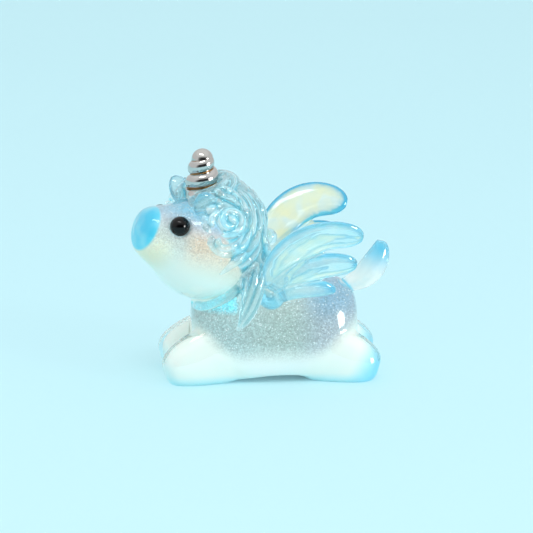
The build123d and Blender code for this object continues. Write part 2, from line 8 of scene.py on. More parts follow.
import bmesh
import bpy
import numpy as np
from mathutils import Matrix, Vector
from mathutils.bvhtree import BVHTree


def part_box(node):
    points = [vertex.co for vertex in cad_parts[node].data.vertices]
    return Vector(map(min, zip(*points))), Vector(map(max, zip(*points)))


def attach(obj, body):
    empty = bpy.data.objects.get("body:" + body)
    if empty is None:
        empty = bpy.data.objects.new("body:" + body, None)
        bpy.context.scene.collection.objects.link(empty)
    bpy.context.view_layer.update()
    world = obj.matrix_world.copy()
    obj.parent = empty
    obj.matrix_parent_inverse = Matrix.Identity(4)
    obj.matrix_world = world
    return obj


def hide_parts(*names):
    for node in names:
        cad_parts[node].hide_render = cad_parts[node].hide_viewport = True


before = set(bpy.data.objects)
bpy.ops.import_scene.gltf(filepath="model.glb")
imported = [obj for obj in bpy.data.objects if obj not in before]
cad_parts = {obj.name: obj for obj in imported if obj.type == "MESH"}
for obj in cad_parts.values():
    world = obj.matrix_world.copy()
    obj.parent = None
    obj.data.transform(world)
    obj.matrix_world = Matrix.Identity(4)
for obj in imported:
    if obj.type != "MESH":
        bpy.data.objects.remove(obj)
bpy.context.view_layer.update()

logging.basicConfig(level=logging.INFO, format="%(message)s")
LOG = logging.getLogger("figurine")

MM = 0.001
TINY = 1e-9
EYES = ("left_eye", "right_eye")
Shell = tuple[np.ndarray, np.ndarray]
Span = tuple[float, float]
Triple = tuple[float, float, float]
Colour = tuple[float, float, float, float]
Socket = bpy.types.NodeSocket
Feed = Union[bpy.types.NodeSocket, float, Sequence[float]]


class Slot(Enum):
    """Material slots of the record, one named with each new piece."""

    GLITTER = "glitter_resin"
    CLEAR = "clear_resin"
    PLATED = "plated_metal"


class Side(Enum):
    """Left is towards -Y."""

    LEFT = 1
    RIGHT = -1


def tint(red: float, green: float, blue: float) -> Colour:
    """A colour written in display values.

    Args:
        red, green, blue: display values from 0 to 255.

    Returns:
        The linear colour with full alpha.
    """
    display = np.array((red, green, blue)) / 255
    linear = np.where(display <= 0.04045, display / 12.92, ((display + 0.055) / 1.055) ** 2.4)
    return (*linear.tolist(), 1.0)


def unit(vectors: np.ndarray) -> np.ndarray:
    """Vectors scaled to length one, along the last axis."""
    return vectors / np.maximum(np.linalg.norm(vectors, axis=-1, keepdims=True), TINY)


@dataclass(frozen=True)
class Shot:
    """Where the photograph is taken from, in millimetres and degrees; the clip is in metres."""

    turn: float = 5.0
    rise: float = 15.0
    distance: float = 450.0
    width: float = 63.96
    pixels: float = 533.0
    height: float = 14.0
    shift: Span = (0.78, -0.72)
    sensor: float = 36.0
    clip: Span = (0.01, 20.0)

    @property
    def axes(self) -> tuple[np.ndarray, np.ndarray, np.ndarray]:
        """The picture's own axes.

        Returns:
            Its right, its up and the way from the object to the camera.
        """
        turn, rise = math.radians(self.turn), math.radians(self.rise)
        right = np.array((math.cos(turn), -math.sin(turn), 0.0))
        level = math.cos(rise)
        toward = np.array((-math.sin(turn) * level, -math.cos(turn) * level, math.sin(rise)))
        return right, np.cross(toward, right), toward

    @property
    def target(self) -> np.ndarray:
        """The point in the middle of the picture."""
        right, up, _ = self.axes
        return np.array((0, 0, self.height)) + right * self.shift[0] + up * self.shift[1]

    @property
    def eye(self) -> np.ndarray:
        """The camera's place."""
        return self.target + self.axes[2] * self.distance

    def rays(self, pixels: np.ndarray) -> np.ndarray:
        """Directions from the camera through the photograph.

        Args:
            pixels: one pixel a row.

        Returns:
            One direction a row.
        """
        right, up, _ = self.axes
        offset = (pixels - self.pixels / 2) * (self.width / self.pixels)
        return unit(self.target + offset[:, :1] * right - offset[:, 1:] * up - self.eye)

    def build(self) -> None:
        """Makes the camera and gives it to the scene."""
        data = bpy.data.cameras.new("camera")
        data.sensor_width = self.sensor
        data.lens = self.sensor * self.distance / self.width
        data.clip_start, data.clip_end = self.clip
        camera = bpy.data.objects.new("camera", data)
        bpy.context.scene.collection.objects.link(camera)
        camera.location = Vector(self.eye * MM)
        camera.rotation_euler = Vector(self.axes[2]).to_track_quat("Z", "Y").to_euler()
        bpy.context.scene.camera = camera


@dataclass(frozen=True)
class HeadAxes:
    """The head's own axes, in millimetres and degrees."""

    centre: Triple = (-6.87, 0.0, 15.84)
    turn: float = 18.0
    pitch: float = 19.0

    @property
    def back(self) -> np.ndarray:
        """Level, towards the nape."""
        return np.array((math.cos(math.radians(self.turn)), math.sin(math.radians(self.turn)), 0.0))

    @property
    def right(self) -> np.ndarray:
        """Level, towards the right ear."""
        return np.array((-math.sin(math.radians(self.turn)), math.cos(math.radians(self.turn)), 0.0))

    @property
    def ahead(self) -> np.ndarray:
        """Along the muzzle."""
        pitch = math.radians(self.pitch)
        return -self.back * math.cos(pitch) + np.array((0, 0, math.sin(pitch)))

    @property
    def above(self) -> np.ndarray:
        """Square to the muzzle, towards the crown."""
        pitch = math.radians(self.pitch)
        return self.back * math.sin(pitch) + np.array((0, 0, math.cos(pitch)))

    def point(self, back: float, right: float, up: float) -> np.ndarray:
        """A point given along the level axes and the upright."""
        return np.array(self.centre) + self.back * back + self.right * right + np.array((0, 0, up))

    def mirrored(self, points: np.ndarray) -> np.ndarray:
        """Points mirrored across the head's middle plane: p - 2 ((p - c) . r) r."""
        away = (points - np.array(self.centre)) @ self.right
        return points - 2 * away[:, None] * self.right


SHOT = Shot()
HEAD = HeadAxes()


def node_shell(name: str) -> Shell:
    """A CAD node's triangles.

    Args:
        name: the node.

    Returns:
        Its points in millimetres and its faces.
    """
    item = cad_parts[name]
    mesh = item.data
    mesh.calc_loop_triangles()
    points = np.empty(len(mesh.vertices) * 3)
    mesh.vertices.foreach_get("co", points)
    triangles = np.empty(len(mesh.loop_triangles) * 3, dtype=np.int32)
    mesh.loop_triangles.foreach_get("vertices", triangles)
    world = np.array(item.matrix_world)
    placed = points.reshape(-1, 3) @ world[:3, :3].T + world[:3, 3]
    return placed / MM, triangles.reshape(-1, 3)


def joined(shells: Iterable[Shell]) -> tuple[list[list[float]], list[list[int]]]:
    """Several shells as one list of points and one of faces.

    Args:
        shells: the shells, in order.

    Returns:
        All points, and faces that count through them.
    """
    points, faces = [], []
    for shell_points, shell_faces in shells:
        faces.extend((shell_faces + len(points)).tolist())
        points.extend(shell_points.tolist())
    return points, faces


class Skin:
    """The CAD surfaces that hair is laid on."""

    axis_back = 1.4
    far_out = 40.0

    def __init__(self, names: Iterable[str]) -> None:
        """Joins the named nodes into one surface."""
        self.tree = BVHTree.FromPolygons(*joined(node_shell(name) for name in names))

    def cast(self, starts: np.ndarray, directions: np.ndarray) -> Shell:
        """First hits of rays, or the nearest skin to rays that pass it by.

        Args:
            starts, directions: one ray a row.

        Returns:
            Points and outward normals, one a row.
        """
        points, normals = [], []
        for start, direction in zip(starts, directions):
            place, normal, _, _ = self.tree.ray_cast(Vector(start), Vector(direction))
            if place is None:
                along = float((np.array(HEAD.centre) - start) @ direction)
                place, normal, _, _ = self.tree.find_nearest(Vector(start + direction * along))
            if normal.dot(Vector(direction)) > 0:
                normal = -normal
            points.append(tuple(place))
            normals.append(tuple(normal))
        return np.array(points), np.array(normals)

    def seen(self, pixels: np.ndarray) -> Shell:
        """Points and normals of the skin that lies behind pixels of the photograph."""
        return self.cast(np.tile(SHOT.eye, (len(pixels), 1)), SHOT.rays(pixels))

    def around(self, turns: np.ndarray, heights: np.ndarray) -> Shell:
        """The skin round the head's upright axis.

        Args:
            turns: degrees from the nape, growing towards the left ear.
            heights: millimetres above the head's centre.

        Returns:
            Points and outward normals, one a row.
        """
        angle = np.radians(turns)[:, None]
        out = np.cos(angle) * HEAD.back - np.sin(angle) * HEAD.right
        axis = np.array([HEAD.point(self.axis_back, 0, height) for height in heights])
        return self.cast(axis + out * self.far_out, -out)


def curve_through(points: np.ndarray, count: int) -> np.ndarray:
    """A Catmull-Rom curve through points.

    Between b and c, with neighbours a and d and u from 0 to 1, it is
    (2b + (c-a)u + (2a-5b+4c-d)u^2 + (3b-a-3c+d)u^3) / 2.

    Args:
        points: control points, one a row.
        count: samples.

    Returns:
        The samples, one a row.
    """
    path = np.asarray(points, dtype=float)
    path = np.vstack((2 * path[0] - path[1], path, 2 * path[-1] - path[-2]))
    along = np.linspace(0, len(path) - 3, count)
    index = np.minimum(along.astype(int), len(path) - 4)
    part = (along - index)[:, None]
    a, b, c, d = (path[index + step] for step in range(4))
    bend, twist = 2 * a - 5 * b + 4 * c - d, 3 * b - a - 3 * c + d
    return (2 * b + (c - a) * part + bend * part**2 + twist * part**3) / 2


def eased(points: np.ndarray, rounds: int) -> np.ndarray:
    """Rows averaged with their neighbours, the ends held.

    Args:
        points: the rows.
        rounds: how often.

    Returns:
        The eased rows.
    """
    for _ in range(rounds):
        points = np.vstack((points[:1], (points[:-2] + 2 * points[1:-1] + points[2:]) / 4, points[-1:]))
    return points


def tapered(count: int, start: float, end: float) -> np.ndarray:
    """A round-ended profile: the lesser of sqrt(t/start) and sqrt((1-t)/end), at most one."""
    along = np.linspace(0, 1, count)
    return np.minimum(1, np.minimum(np.sqrt(along / start), np.sqrt((1 - along) / end)))


def tube(
    path: np.ndarray, normals: np.ndarray, half_width: np.ndarray, half_height: np.ndarray, around: int = 12
) -> Shell:
    """A profile carried along a path: p(s, f) = c(s) + w(s) cos f side(s) + h(s) sin f up(s).

    Args:
        path, normals: centre line and the way each section's height points, one a row.
        half_width, half_height: half sizes of the elliptical section along the path.
        around: points round a section.

    Returns:
        The closed shell; its end sections shrink to points.
    """
    ahead = unit(np.gradient(path, axis=0))
    side = unit(np.cross(ahead, normals))
    up = np.cross(side, ahead)
    angle = np.linspace(0, math.tau, around, endpoint=False)
    grid = (
        path[:, None]
        + (half_width[:, None] * np.cos(angle))[..., None] * side[:, None]
        + (half_height[:, None] * np.sin(angle))[..., None] * up[:, None]
    )
    row, column = np.meshgrid(np.arange(len(path) - 1) * around, np.arange(around), indexing="ij")
    following = (column + 1) % around
    corners = (row + column, row + following, row + around + following, row + around + column)
    return grid.reshape(-1, 3), np.stack(corners, axis=-1).reshape(-1, 4)


def ball(centre: Sequence[float], radius: float, around: int = 20) -> Shell:
    """A sphere as a tube whose section follows sqrt(1 - t^2).

    Args:
        centre, radius: its place and size.
        around: points round it, and rings.

    Returns:
        The closed shell.
    """
    along = -np.cos(np.linspace(0, math.pi, around))
    section = radius * np.sqrt(np.maximum(1 - along**2, 0))
    path = np.asarray(centre) + along[:, None] * np.array((0, 0, radius))
    return tube(path, np.tile((0.0, 1.0, 0.0), (around, 1)), section, section, around)


def drawn_in(shell: Shell, centre: Sequence[float], shares: Sequence[float]) -> Shell:
    """A shell shrunk towards a centre, by its own share along each axis."""
    points, faces = shell
    return np.array(centre) + (points - np.array(centre)) * np.array(shares), faces


def mesh_edges(mesh: bpy.types.Mesh) -> np.ndarray:
    """The edges of a mesh.

    Args:
        mesh: the mesh.

    Returns:
        The numbers of two points, one edge a row.
    """
    edges = np.empty(len(mesh.edges) * 2, dtype=np.int32)
    mesh.edges.foreach_get("vertices", edges)
    return edges.reshape(-1, 2)


def drop_crumbs(mesh: bpy.types.Mesh, least: int = 200) -> None:
    """Deletes the loose crumbs that fusing leaves at the tips of thin strands.

    Each point takes the lowest number among its neighbours until nothing changes, so a number stands
    for one connected part.

    Args:
        mesh: the skin.
        least: points that a part needs to stay.
    """
    edges = mesh_edges(mesh)
    part = np.arange(len(mesh.vertices))
    settled = False
    while not settled:
        lowest = part[edges].min(axis=1)
        lower = part.copy()
        np.minimum.at(lower, edges[:, 0], lowest)
        np.minimum.at(lower, edges[:, 1], lowest)
        lower = lower[lower]
        settled = np.array_equal(lower, part)
        part = lower
    loose = np.flatnonzero(np.bincount(part, minlength=len(part))[part] < least)
    if len(loose):
        shape = bmesh.new()
        shape.from_mesh(mesh)
        shape.verts.ensure_lookup_table()
        bmesh.ops.delete(shape, geom=[shape.verts[index] for index in loose], context="VERTS")
        shape.to_mesh(mesh)
        shape.free()


def neighbour_mean(edges: np.ndarray, values: np.ndarray) -> np.ndarray:
    """The mean of each point's neighbours.

    Args:
        edges: two points a row.
        values: one value a point, or one row.

    Returns:
        The means, shaped as the values are.
    """
    columns = values.reshape(len(values), -1)
    count = np.bincount(edges.ravel(), minlength=len(values)).astype(float)
    ends = ((0, 1), (1, 0))
    total = [
        sum(np.bincount(edges[:, near], column[edges[:, far]], len(values)) for near, far in ends)
        for column in columns.T
    ]
    return (np.stack(total, axis=-1) / np.maximum(count, 1)[:, None]).reshape(values.shape)


def ridges(mesh: bpy.types.Mesh, points: np.ndarray, rounds: int = 6, gain: float = 9.0) -> np.ndarray:
    """How far a skin bulges: (p - mean of neighbours) . n over the edge length, eased and scaled.

    Args:
        mesh: the skin.
        points: its points in millimetres.
        rounds: easing rounds.
        gain: scale before the values are held between -1 and 1.

    Returns:
        Values above zero on ridges and below zero in grooves.
    """
    edges = mesh_edges(mesh)
    normals = np.empty(len(mesh.vertices) * 3)
    mesh.vertices.foreach_get("normal", normals)
    length = np.linalg.norm(points[edges[:, 0]] - points[edges[:, 1]], axis=1).mean()
    bulge = ((points - neighbour_mean(edges, points)) * normals.reshape(-1, 3)).sum(axis=1) / length
    for _ in range(rounds):
        bulge = (bulge + neighbour_mean(edges, bulge)) / 2
    return np.clip(bulge * gain, -1, 1)


@dataclass
class Casting:
    """One closed surface poured over several shells.

    Attributes:
        name: the piece's name.
        slot: the record's slot for the piece; not used.
        nodes: the CAD nodes that it stands for.
        voxel: grain of the surface, in millimetres.
        rounds: smoothing rounds.
        clear: lets light in and out without a shadow, as clear resin does.
        smoothing: how far a round moves a point, from 0 to 1.
        shells: what it is poured over.
    """

    name: str
    slot: Slot
    nodes: tuple[str, ...]
    voxel: float
    rounds: int
    clear: bool = False
    smoothing: float = 0.5
    shells: list[Shell] = field(default_factory=list)

    def fused(self) -> bpy.types.Object:
        """Joins the shells and remeshes them.

        Returns:
            One smoothed skin, still in millimetres.
        """
        mesh = bpy.data.meshes.new(self.name)
        points, faces = joined(self.shells)
        mesh.from_pydata(points, [], faces)
        item = bpy.data.objects.new(self.name, mesh)
        bpy.context.scene.collection.objects.link(item)
        fuse = item.modifiers.new("fuse", "REMESH")
        fuse.mode = "VOXEL"
        fuse.voxel_size = self.voxel
        smooth = item.modifiers.new("smooth", "SMOOTH")
        smooth.factor, smooth.iterations = self.smoothing, self.rounds
        graph = bpy.context.evaluated_depsgraph_get()
        skin = bpy.data.meshes.new_from_object(item.evaluated_get(graph))
        item.modifiers.clear()
        item.data = skin
        bpy.data.meshes.remove(mesh)
        skin.name = self.name
        drop_crumbs(skin)
        return item

    def build(self) -> bpy.types.Object:
        """Fuses the shells, marks the ridges and puts the skin to its real size.

        Returns:
            The piece, riding on the root body.
        """
        item = self.fused()
        skin = item.data
        coordinates = np.empty(len(skin.vertices) * 3)
        skin.vertices.foreach_get("co", coordinates)
        bulge = ridges(skin, coordinates.reshape(-1, 3))
        layer = skin.attributes.new("ridge", "FLOAT", "POINT")
        layer.data.foreach_set("value", bulge.astype(np.float32))
        skin.vertices.foreach_set("co", coordinates * MM)
        skin.polygons.foreach_set("use_smooth", np.ones(len(skin.polygons), dtype=bool))
        skin.update()
        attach(item, "root")
        if self.clear:
            item.visible_shadow = item.visible_diffuse = False
        if self.nodes:
            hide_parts(*self.nodes)
        LOG.info("%s: %d faces over %d shells", self.name, len(skin.polygons), len(self.shells))
        return item


class Board:
    """Adds and links shader nodes in one tree."""

    def __init__(self, tree: bpy.types.NodeTree) -> None:
        """Takes the tree to work on."""
        self.tree = tree

    def feed(self, node: bpy.types.Node, feeds: dict[Union[int, str], Feed]) -> None:
        """Links a node's inputs to other sockets, or sets their constants.

        Args:
            node: the node.
            feeds: a socket or a constant for each input, by name or number.
        """
        for key, value in feeds.items():
            if isinstance(value, bpy.types.NodeSocket):
                self.tree.links.new(value, node.inputs[key])
            else:
                node.inputs[key].default_value = value

    def add(
        self, kind: str, feeds: Optional[dict[Union[int, str], Feed]] = None, **settings: object
    ) -> bpy.types.Node:
        """A new node.

        Args:
            kind: its type.
            feeds: what goes into its inputs.
            settings: its properties.

        Returns:
            The node.
        """
        node = self.tree.nodes.new(kind)
        for name, value in settings.items():
            setattr(node, name, value)
        self.feed(node, feeds or {})
        return node

    def math(self, operation: str, first: Feed, second: Feed = 0.0, third: Feed = 0.0) -> Socket:
        """A sum of up to three values."""
        return self.add("ShaderNodeMath", {0: first, 1: second, 2: third}, operation=operation).outputs[0]

    def step(self, value: Feed, start: float, end: float) -> Socket:
        """A smooth step from 0 at start to 1 at end.

        Args:
            value: what is measured.
            start, end: the span, which may run downwards.

        Returns:
            The mask.
        """
        low, high = (1.0, 0.0) if end < start else (0.0, 1.0)
        span = {"From Min": min(start, end), "From Max": max(start, end), "To Min": low, "To Max": high}
        feeds = {"Value": value, **span}
        return self.add("ShaderNodeMapRange", feeds, interpolation_type="SMOOTHSTEP").outputs[0]

    def mix(self, share: Feed, first: Feed, second: Feed, blend: str = "MIX") -> Socket:
        """Two colours mixed."""
        feeds = {0: share, 6: first, 7: second}
        return self.add("ShaderNodeMix", feeds, data_type="RGBA", blend_type=blend).outputs[2]

    def between(self, share: Feed, first: Feed, second: Feed) -> Socket:
        """A value between two others."""
        return self.add("ShaderNodeMix", {0: share, 2: first, 3: second}, data_type="FLOAT").outputs[0]

    def place(self) -> Socket:
        """The object's own coordinates in millimetres."""
        own = self.add("ShaderNodeTexCoord").outputs["Object"]
        return self.add("ShaderNodeVectorMath", {0: own, "Scale": 1 / MM}, operation="SCALE").outputs[0]

    def vector(self, operation: str, first: Socket, second: Sequence[float]) -> bpy.types.Node:
        """A sum of a vector and a constant one."""
        feeds = {0: first, 1: tuple(float(value) for value in second)}
        return self.add("ShaderNodeVectorMath", feeds, operation=operation)

    def along(self, place: Socket, origin: Sequence[float], way: Sequence[float]) -> Socket:
        """How far a place lies from an origin along a direction."""
        offset = self.vector("SUBTRACT", place, origin).outputs[0]
        return self.vector("DOT_PRODUCT", offset, way).outputs["Value"]

    def away(self, place: Socket, origin: Sequence[float]) -> Socket:
        """The distance of a place from a point."""
        return self.vector("DISTANCE", place, origin).outputs["Value"]

    def value_of(self, name: str) -> Socket:
        """A value stored on the mesh."""
        return self.add("ShaderNodeAttribute", attribute_name=name).outputs["Fac"]

    def group(self, tree: bpy.types.NodeTree, place: Socket) -> bpy.types.Node:
        """A shared effect at a place."""
        return self.add("ShaderNodeGroup", {"Place": place}, node_tree=tree)


def surface(name: str) -> tuple[bpy.types.Material, Board, bpy.types.Node]:
    """A new material.

    Args:
        name: its name.

    Returns:
        The material, its board and its Principled node.
    """
    material = bpy.data.materials.new(name)
    material.use_nodes = True
    return material, Board(material.node_tree), material.node_tree.nodes["Principled BSDF"]


def coat(item: bpy.types.Object, material: bpy.types.Material) -> None:
    """Gives a piece its only material."""
    item.data.materials.clear()
    item.data.materials.append(material)


def effect(name: str, outputs: Sequence[str]) -> tuple[Board, Socket, bpy.types.Node]:
    """A new node group that takes a place in millimetres and puts out values.

    Args:
        name: its name.
        outputs: the names of its values.

    Returns:
        Its board, the place and the node that the values go into.
    """
    tree = bpy.data.node_groups.new(name, "ShaderNodeTree")
    tree.interface.new_socket("Place", in_out="INPUT", socket_type="NodeSocketVector")
    for output in outputs:
        tree.interface.new_socket(output, in_out="OUTPUT", socket_type="NodeSocketFloat")
    board = Board(tree)
    return board, board.add("NodeGroupInput").outputs["Place"], board.add("NodeGroupOutput")


@dataclass(frozen=True)
class GlitterEffect:
    """Fine flakes poured into resin: a random shade a flake, and painted glints, near-white flakes that
    stand in for the few that catch the light.
    """

    size: float = 0.145
    bright_share: float = 0.16
    shade_gain: float = 0.44
    shade_least: float = 0.79
    flake_edge: Span = (0.62, 0.3)

    def build(self) -> bpy.types.NodeTree:
        """The node group.

        Returns:
            A group that puts out Shade, around one, and the mask of painted glints.
        """
        board, place, outlet = effect("glitter", ("Shade", "Spark"))
        flakes = board.add("ShaderNodeTexVoronoi", {"Vector": place, "Scale": 1 / self.size}, feature="F1")
        parts = board.add("ShaderNodeSeparateColor", {0: flakes.outputs["Color"]})
        shade = board.math("MULTIPLY_ADD", parts.outputs[0], self.shade_gain, self.shade_least)
        # Painted glint: a few flakes are marked to be painted near white, standing in for the light that
        # they catch.
        spark = board.step(parts.outputs[1], 1 - self.bright_share, 1 - self.bright_share / 3)
        near = board.step(flakes.outputs["Distance"], *self.flake_edge)
        board.feed(outlet, {"Shade": shade, "Spark": board.math("MULTIPLY", spark, near)})
        return board.tree


@dataclass(frozen=True)
class RippleEffect:
    """The slight waviness of a cast surface."""

    length: float = 2.2
    detail: float = 1.0

    def build(self) -> bpy.types.NodeTree:
        """The node group.

        Returns:
            A group that puts out Height, from 0 to 1.
        """
        board, place, outlet = effect("ripple", ("Height",))
        feeds = {"Vector": place, "Scale": 1 / self.length, "Detail": self.detail}
        board.feed(outlet, {"Height": board.add("ShaderNodeTexNoise", feeds).outputs[0]})
        return board.tree


@dataclass(frozen=True)
class Effects:
    """The shared node groups."""

    glitter: bpy.types.NodeTree
    ripple: bpy.types.NodeTree

    @classmethod
    def build(cls) -> "Effects":
        """Makes every shared group once."""
        return cls(GlitterEffect().build(), RippleEffect().build())

    def height(self, board: Board, place: Socket) -> Socket:
        """The ripple's height."""
        return board.group(self.ripple, place).outputs["Height"]

    def wavy(self, board: Board, place: Socket, strength: float, depth: float) -> Socket:
        """A normal with the ripple in it, depth in millimetres."""
        feeds = {"Strength": strength, "Distance": depth * MM, "Height": self.height(board, place)}
        return board.add("ShaderNodeBump", feeds).outputs[0]


@dataclass(frozen=True)
class Slope:
    """A soft edge: a mask that goes from 0 to 1 over a span along a direction, in millimetres."""

    way: Triple
    span: Span
    origin: Triple = (0.0, 0.0, 0.0)

    def mask(self, board: Board, place: Socket) -> Socket:
        """The mask at a place."""
        return board.step(board.along(place, self.origin, self.way), *self.span)


def endwise(start: float, end: float) -> Slope:
    """A slope along X, which grows towards the rump."""
    return Slope((1.0, 0.0, 0.0), (start, end))


def upward(start: float, end: float) -> Slope:
    """A slope along Z."""
    return Slope((0.0, 0.0, 1.0), (start, end))


def ahead(start: float, end: float) -> Slope:
    """A slope from the head's centre along the muzzle."""
    return Slope(tuple(HEAD.ahead), (start, end), HEAD.centre)


def above(start: float, end: float) -> Slope:
    """A slope from the head's centre towards the crown."""
    return Slope(tuple(HEAD.above), (start, end), HEAD.centre)


@dataclass(frozen=True)
class Zone:
    """A colour that is laid where all of its slopes are full."""

    colour: Colour
    slopes: tuple[Slope, ...]

    def laid(self, board: Board, place: Socket, under: Feed) -> Socket:
        """The colour laid over another one.

        Args:
            board, place: the material's board and the place.
            under: the colour outside the zone.

        Returns:
            The mixed colour.
        """
        mask, *others = (slope.mask(board, place) for slope in self.slopes)
        for other in others:
            mask = board.math("MULTIPLY", mask, other)
        return board.mix(mask, under, self.colour)


def layered(board: Board, place: Socket, under: Feed, *zones: Zone) -> Feed:
    """Zones laid over a colour, one after another.

    Args:
        board, place: the material's board and the place.
        under: the lowest colour.
        zones: what lies over it.

    Returns:
        The mixed colour.
    """
    for zone in zones:
        under = zone.laid(board, place, under)
    return under


@dataclass(frozen=True)
class NoseSeam:
    """The edge of the blue nose: its bend, and the ways ahead of it above and under the bend."""

    bend: Triple
    fore: Triple
    under: Triple

    @classmethod
    def seen(cls, skin: Skin, pixels: Sequence[Span] = ((160, 207), (158.5, 233), (141, 250))) -> "NoseSeam":
        """The seam that lies behind three pixels of the photograph.

        Args:
            skin: the head's surface.
            pixels: top, bend and foot of the seam.

        Returns:
            The seam.
        """
        (top, bend, foot), _ = skin.seen(np.array(pixels))
        ways = (unit(np.cross(high - low, HEAD.right)) for high, low in ((top, bend), (bend, foot)))
        return cls(tuple(bend), *(tuple(way) for way in ways))


@dataclass(frozen=True)
class BodyFinish:
    """The fill: its colours from rump to nose, and the zones that they take."""

    flank: Colour = tint(186, 204, 202)
    middle: Zone = Zone(tint(186, 200, 194), (endwise(-4, 2),))
    rear: Zone = Zone(tint(188, 194, 200), (endwise(3, 8),))
    saddle: Zone = Zone(tint(146, 180, 200), (upward(6.5, 10), endwise(4, 8)))
    # Painted light: bright cyan laid on the fill under the clear collar strand, standing in for the band's
    # highlight and refracted light.
    painted_collar_light: Zone = Zone(tint(150, 242, 255), (upward(8.2, 9.2), endwise(-2.4, -3.6)))
    milk: Zone = Zone(tint(254, 254, 248), (upward(4.9, 2.0),))
    leg: Colour = tint(252, 253, 242)
    front_leg: Slope = Slope((0.66, 0, 0.752), (0.9, -1.2), (-7.36, 0, 6.66))
    hind_leg: Slope = Slope((-0.64, 0, 0.766), (1.0, -1.4), (11.0, 0, 7.2))
    foot: Zone = Zone(tint(206, 245, 250), (upward(1.5, 0.1),))
    front_hoof: Zone = Zone(tint(146, 234, 251), (Slope((-0.9, 0, -0.44), (-1.2, 1.4), (-10.6, 0, 0)),))
    hind_hoof: Zone = Zone(tint(178, 236, 250), (Slope((0.9, 0, -0.44), (-0.8, 1.6), (10.2, 0, 0)),))
    chin: Colour = tint(255, 253, 240)
    cheek: Colour = tint(238, 212, 190)
    cheek_rise: Slope = above(-3.6, 1.0)
    fore_cheek: Zone = Zone(tint(214, 218, 212), (ahead(2.8, 5.2),))
    eye_band: Zone = Zone(tint(188, 200, 212), (above(1.0, 3.2),))
    brow: Zone = Zone(tint(132, 198, 222), (above(2.3, 4.4),))
    cream: Zone = Zone(tint(255, 238, 210), (ahead(4.2, 7.0), above(1.5, -1.5)))
    under_hair: Colour = tint(150, 228, 246)
    crown: Slope = Slope(
        tuple(0.906 * HEAD.back + np.array((0, 0, 0.423))), (-0.2, 1.0), tuple(HEAD.point(1.6, 0, 0))
    )
    nose: Colour = tint(112, 208, 230)
    nose_edge: Span = (-0.15, 0.15)
    nose_foot: Span = (-1.2, -0.8)
    nose_seam: Colour = tint(44, 196, 234)
    seam_depth: Span = (0.0, 2.2)
    nose_low: Colour = tint(116, 224, 242)
    low_depth: Span = (1.4, -1.0)
    nose_top: Zone = Zone(tint(92, 196, 226), (above(2.4, 4.4),))
    nose_cloud: Colour = tint(164, 230, 242)
    cloud_span: Span = (0.4, 0.75)
    cloud_share: float = 0.7
    ring: Colour = tint(214, 236, 240)
    ring_reach: Span = (1.5, 1.25)
    head_reach: Span = (6.9, 6.5)
    muzzle_start: Slope = ahead(2.0, 3.0)
    body_grain: Slope = upward(2.2, 4.8)
    head_grain: Slope = above(-2.6, 0.4)
    head_grain_share: float = 0.8
    # Painted glints: the near-white colour laid on the flakes that would catch the lamps.
    spark: Colour = tint(250, 252, 250)
    painted_glint_share: float = 0.95
    roughness: float = 0.4
    specular: float = 0.15
    subsurface: float = 0.3
    scatter: Triple = (0.7, 1.0, 1.0)
    scatter_depth: float = 1.2
    wave: Span = (0.3, 0.06)

    def trunk(self, board: Board, place: Socket, legs: Socket) -> Feed:
        """The colour of torso, legs and hooves.

        Args:
            board, place: the material's board and the place.
            legs: the legs' mask.

        Returns:
            The colour.
        """
        barrel = (self.middle, self.rear, self.saddle, self.painted_collar_light, self.milk)
        body = board.mix(legs, layered(board, place, self.flank, *barrel), self.leg)
        return layered(board, place, body, self.foot, self.front_hoof, self.hind_hoof)

    def muzzle(self, effects: Effects, board: Board, place: Socket, fore: Socket, under: Socket) -> Socket:
        """The colour of the blue nose.

        Args:
            effects, board, place: the shared groups, the material's board and the place.
            fore, under: how far the place lies ahead of the two parts of the seam.

        Returns:
            The colour.
        """
        colour = board.mix(board.step(fore, *self.seam_depth), self.nose_seam, self.nose)
        colour = board.mix(board.step(under, *self.low_depth), colour, self.nose_low)
        colour = self.nose_top.laid(board, place, colour)
        cloud = board.step(effects.height(board, place), *self.cloud_span)
        return board.mix(board.math("MULTIPLY", cloud, self.cloud_share), colour, self.nose_cloud)

    def face(self, board: Board, place: Socket, nose: Socket, muzzle: Socket) -> Socket:
        """The colour of the head.

        Args:
            board, place: the material's board and the place.
            nose, muzzle: the nose's mask and colour.

        Returns:
            The colour, with rings round the eyes.
        """
        cheek = self.fore_cheek.laid(board, place, self.cheek)
        head = board.mix(self.cheek_rise.mask(board, place), self.chin, cheek)
        head = layered(board, place, head, self.eye_band, self.brow, self.cream)
        head = board.mix(nose, head, muzzle)
        head = board.mix(self.crown.mask(board, place), head, self.under_hair)
        for name in EYES:
            low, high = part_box(name)
            eye = np.array((low + high) / 2) / MM
            head = board.mix(board.step(board.away(place, eye), *self.ring_reach), head, self.ring)
        return head

